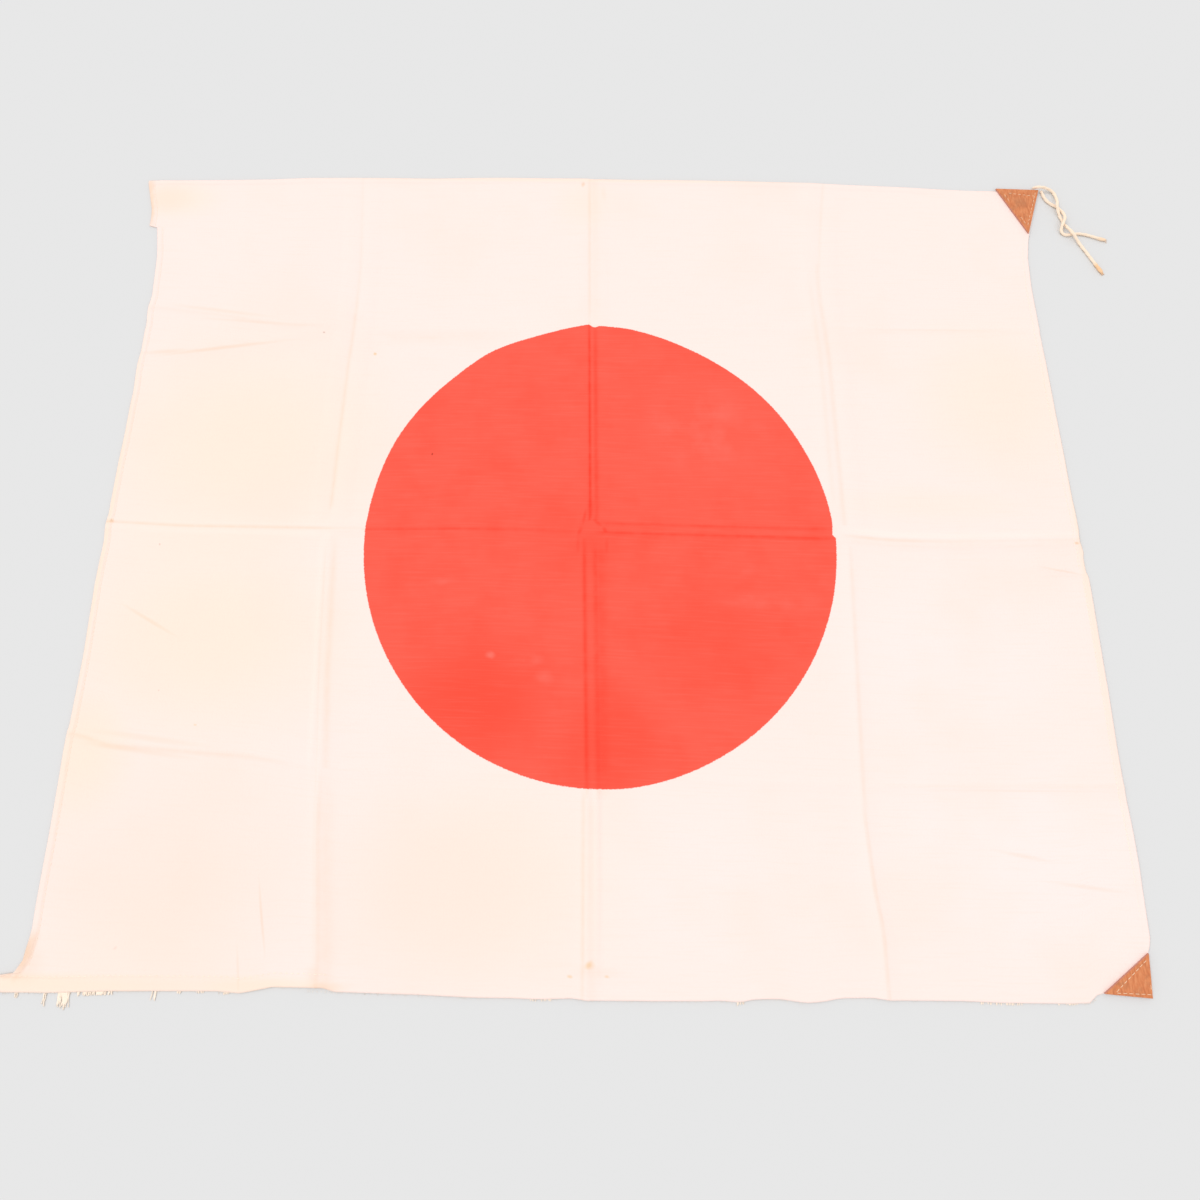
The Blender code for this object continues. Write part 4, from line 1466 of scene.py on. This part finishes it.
@dataclass
class HemWork:
    """Sewing along the hems and the loose threads under the bottom edge."""

    sheet: FlagSheet
    stitch_length: float = 2.4
    stitch_pitch: float = 3.6
    stitch_radius: float = 0.2
    stitch_reach: float = 0.6
    stitch_rise: float = 0.12
    inside_hem: float = 1.1
    left_ends: tuple[float, float] = (-332.0, 342.0)
    right_ends: tuple[float, float] = (-290.0, 285.0)
    bottom_ends: tuple[float, float] = (-404.0, -205.0)
    thread_radius: float = 0.48
    thread_tuck: float = 1.2
    thread_steps: int = 8
    # Middle, width, length and number of threads of each tuft
    tufts: tuple[tuple[float, float, float, int], ...] = (
        (-407, 3.0, 4.5, 4), (-386, 2.0, 9.0, 4), (-373.5, 8.5, 9.5, 24), (-372, 3.0, 12.0, 6),
        (-351, 25.0, 2.8, 66), (-308, 3.5, 6.5, 6), (-292, 6.0, 2.0, 7), (-276, 6.0, 1.8, 7),
        (-256, 8.0, 1.8, 9), (-30, 16.0, 1.8, 14), (113, 5.0, 3.0, 8), (300, 30.0, 1.8, 24),
        (352, 24.0, 1.2, 14),
    )
    fuzz_ends: tuple[float, float] = (-420.0, 372.0)
    fuzz_step: float = 1.5
    fuzz_tuck: float = 0.5
    bare_share: float = 0.35
    fuzz_radii: tuple[float, ...] = (0.13, 0.05)
    fuzz_steps: int = 4
    seed: int = 11

    def seam(self, fixed: float, ends: tuple[float, float], upright: bool) -> list[Matrix]:
        """Places the stitches of one straight seam of the plain cut.

        Args:
            fixed: Plain position that stays the same along the seam.
            ends: Plain positions where the seam starts and ends.
            upright: Whether the seam runs up the flag.

        Returns:
            Where each stitch lies, in metres.
        """
        start, end = ends
        count = int((end - start) / self.stitch_pitch)
        along = start + (np.arange(count) + 0.5) * (end - start) / count
        along = np.stack([along - self.stitch_reach, along + self.stitch_reach], axis=1).ravel()
        level = np.full(along.shape, fixed)
        points = self.sheet.placed(*((level, along) if upright else (along, level)), 0.0)
        height = self.sheet.relief(points) + self.sheet.thickness + self.stitch_rise
        places = []
        for first, second in np.stack([points.x, points.y, height], axis=1).reshape(-1, 2, 3):
            turn = Matrix.Rotation(math.atan2(second[1] - first[1], second[0] - first[0]), 4, "Z")
            places.append(Matrix.Translation(Vector((first + second) * 0.5 * MM)) @ turn)
        return places

    def stitches(self, material: Material) -> Object:
        """Sews both side hems and the bottom hem.

        Args:
            material: The sewing thread.

        Returns:
            One piece with all the stitches.
        """
        plan = self.sheet.plan
        inside = self.sheet.side_hem + self.inside_hem
        low = plan.rows[0] + self.sheet.bottom_hem + self.inside_hem
        places = self.seam(plan.columns[0] + inside, self.left_ends, True)
        places += self.seam(plan.columns[-1] - inside, self.right_ends, True)
        places += self.seam(low, self.bottom_ends, False)
        maker = StitchMaker(self.stitch_length, self.stitch_radius, 6)
        return dress(maker.sew("hem_stitches", places), material)

    def edge(self, x: float) -> float:
        """Returns how far up the bottom edge lies at a place along it."""
        return float(self.sheet.read(self.sheet.plan.bottom_edge, np.array(x)))

    def threads(self, material: Material) -> Object:
        """Lays the loose threads that hang out of the bottom edge.

        Args:
            material: The cotton thread.

        Returns:
            One piece with all the threads.
        """
        draw = random.Random(self.seed)
        at = np.linspace(0.0, 1.0, self.thread_steps)
        radii = self.thread_radius * np.linspace(1.0, 0.55, self.thread_steps)
        tubes = []
        for middle, width, length, count in self.tufts:
            for _ in range(count):
                x = middle + draw.uniform(-0.5, 0.5) * width
                reach = length * draw.uniform(0.6, 1.0)
                lean = draw.uniform(-0.14, 0.14) * reach
                path = np.stack([
                    x + lean * at ** 2 + 0.15 * np.sin(at * 7.0 + x),
                    self.edge(x) + self.thread_tuck - (reach + self.thread_tuck) * at,
                    np.maximum(self.thread_radius, 0.8 * (1.0 - at * 2.2)),
                ], axis=1)
                tubes.append(tube(path, radii, 5))
        return dress(join_tubes("hem_threads", tubes), material)

    def fuzz(self, material: Material) -> Object:
        """Sets short fibres along the bottom edge, where the hem is worn.

        Args:
            material: The cotton thread.

        Returns:
            One piece with all the fibres.
        """
        draw = random.Random(self.seed + 1)
        at = np.linspace(0.0, 1.0, self.fuzz_steps)
        radii = np.linspace(*self.fuzz_radii, self.fuzz_steps)
        tubes = []
        for x in np.arange(*self.fuzz_ends, self.fuzz_step):
            if draw.random() < self.bare_share:
                continue
            x += draw.uniform(-0.6, 0.6)
            reach = draw.uniform(0.5, 1.6)
            path = np.stack([
                x + draw.uniform(-0.8, 0.8) * at,
                self.edge(x) + self.fuzz_tuck - (reach + self.fuzz_tuck) * at,
                np.maximum(0.1, 0.5 - 0.4 * at),
            ], axis=1)
            tubes.append(tube(path, radii, 3))
        return dress(join_tubes("hem_fuzz", tubes), material)

    def build(self, loose: Material) -> list[Object]:
        """Builds the sewing and the loose threads in one finish and returns their pieces."""
        return [self.stitches(loose), self.threads(loose), self.fuzz(loose)]


@dataclass
class Studio:
    """Camera at the photo's viewing angle, pale floor and soft light."""

    place: tuple[float, float, float] = (0.0092, -0.1465, 0.5876)
    down: float = 75.21
    roll: float = 0.49
    focal_pixels: float = 719.1
    frame_pixels: float = 1200.0
    axis_row: float = 520.0
    sensor: float = 36.0
    world: float = 1.032
    key: float = 0.7
    key_side: float = 150.0
    key_height: float = 48.0
    key_angle: float = 25.0
    floor_size: float = 12.0

    def camera(self) -> None:
        """Sets up the camera."""
        data = bpy.data.cameras.new("camera")
        data.sensor_fit = "HORIZONTAL"
        data.sensor_width = self.sensor
        data.lens = self.sensor * self.focal_pixels / self.frame_pixels
        data.shift_y = (self.axis_row - self.frame_pixels / 2.0) / self.frame_pixels
        data.clip_start = 0.01
        camera = bpy.data.objects.new("camera", data)
        bpy.context.scene.collection.objects.link(camera)
        level = Matrix.Rotation(math.radians(90.0 - self.down), 4, "X")
        turn = Matrix.Rotation(math.radians(self.roll), 4, "Z")
        camera.matrix_world = Matrix.Translation(self.place) @ level @ turn
        bpy.context.scene.camera = camera

    def lights(self) -> None:
        """Sets up the even sky and one soft light from the upper left."""
        scene = bpy.context.scene
        world = bpy.data.worlds.new("studio")
        world.use_nodes = True
        sky = {"Color": (1.0, 1.0, 1.0, 1.0), "Strength": self.world}
        plug(world.node_tree, world.node_tree.nodes["Background"], sky)
        scene.world = world
        sun = bpy.data.lights.new("key", "SUN")
        sun.energy = self.key
        sun.angle = math.radians(self.key_angle)
        light = bpy.data.objects.new("key", sun)
        scene.collection.objects.link(light)
        around, high = math.radians(self.key_side), math.radians(self.key_height)
        towards = Vector((math.cos(around), math.sin(around), math.tan(high)))
        light.rotation_euler = towards.to_track_quat("Z", "Y").to_euler()
        scene.view_settings.view_transform = "Standard"
        scene.view_settings.look = "None"

    def build(self, paper: Material) -> None:
        """Builds the camera, the lights and the floor.

        Args:
            paper: Finish of the floor.
        """
        self.camera()
        self.lights()
        bpy.ops.object.select_all(action="DESELECT")
        bpy.ops.mesh.primitive_plane_add(size=self.floor_size)
        floor = bpy.context.object
        floor.name = "floor"
        floor.data.materials.append(paper)


def main() -> None:
    """Builds the studio, then every piece of the flag."""
    logging.basicConfig(level=logging.INFO, format="%(name)s: %(message)s")
    string = ThreadFinish("twisted cotton string", "#F6E4D0", "#F0C69C").material()
    thread = ThreadFinish("waxed sewing thread", "#EFCDAC", "#DDB08C").material()
    loose = ThreadFinish("loose cotton thread", "#FDEEDE", "#F8DFC6").material()
    leather = LeatherFinish().material()
    cotton = CottonFinish().material()

    Studio().build(PaperFinish().material())
    TieString("a", STRAND_A, soiled_end=0.9).build(string)
    TieString("b", STRAND_B, soiled_end=0.4, worn_length=8.0, seed=5).build(string)

    sheet = FlagSheet()
    cloth = sheet.build(cotton)
    on_cloth = HemWork(sheet).build(loose)

    CornerPatch(
        Corner.TOP,
        ((386.1, 340.1), (410.8, 290.9), (426.9, 338.9)),
        (
            ((396.9, 335.0), (423.2, 331.6)),
            ((423.6, 336.6), (410.7, 299.0)),
            ((392.8, 334.4), (397.4, 325.2)),
            ((405.2, 309.2), (409.4, 300.8)),
        ),
    ).build(leather, thread)
    CornerPatch(
        Corner.BOTTOM,
        ((374.4, -340.7), (408.5, -343.4), (410.9, -314.3)),
        (
            ((382.6, -339.6), (408.6, -318.4)),
            ((382.6, -339.9), (408.6, -340.8)),
            ((408.0, -338.9), (408.4, -333.4)),
        ),
    ).build(leather, thread)


if __name__ == "__main__":
    main()
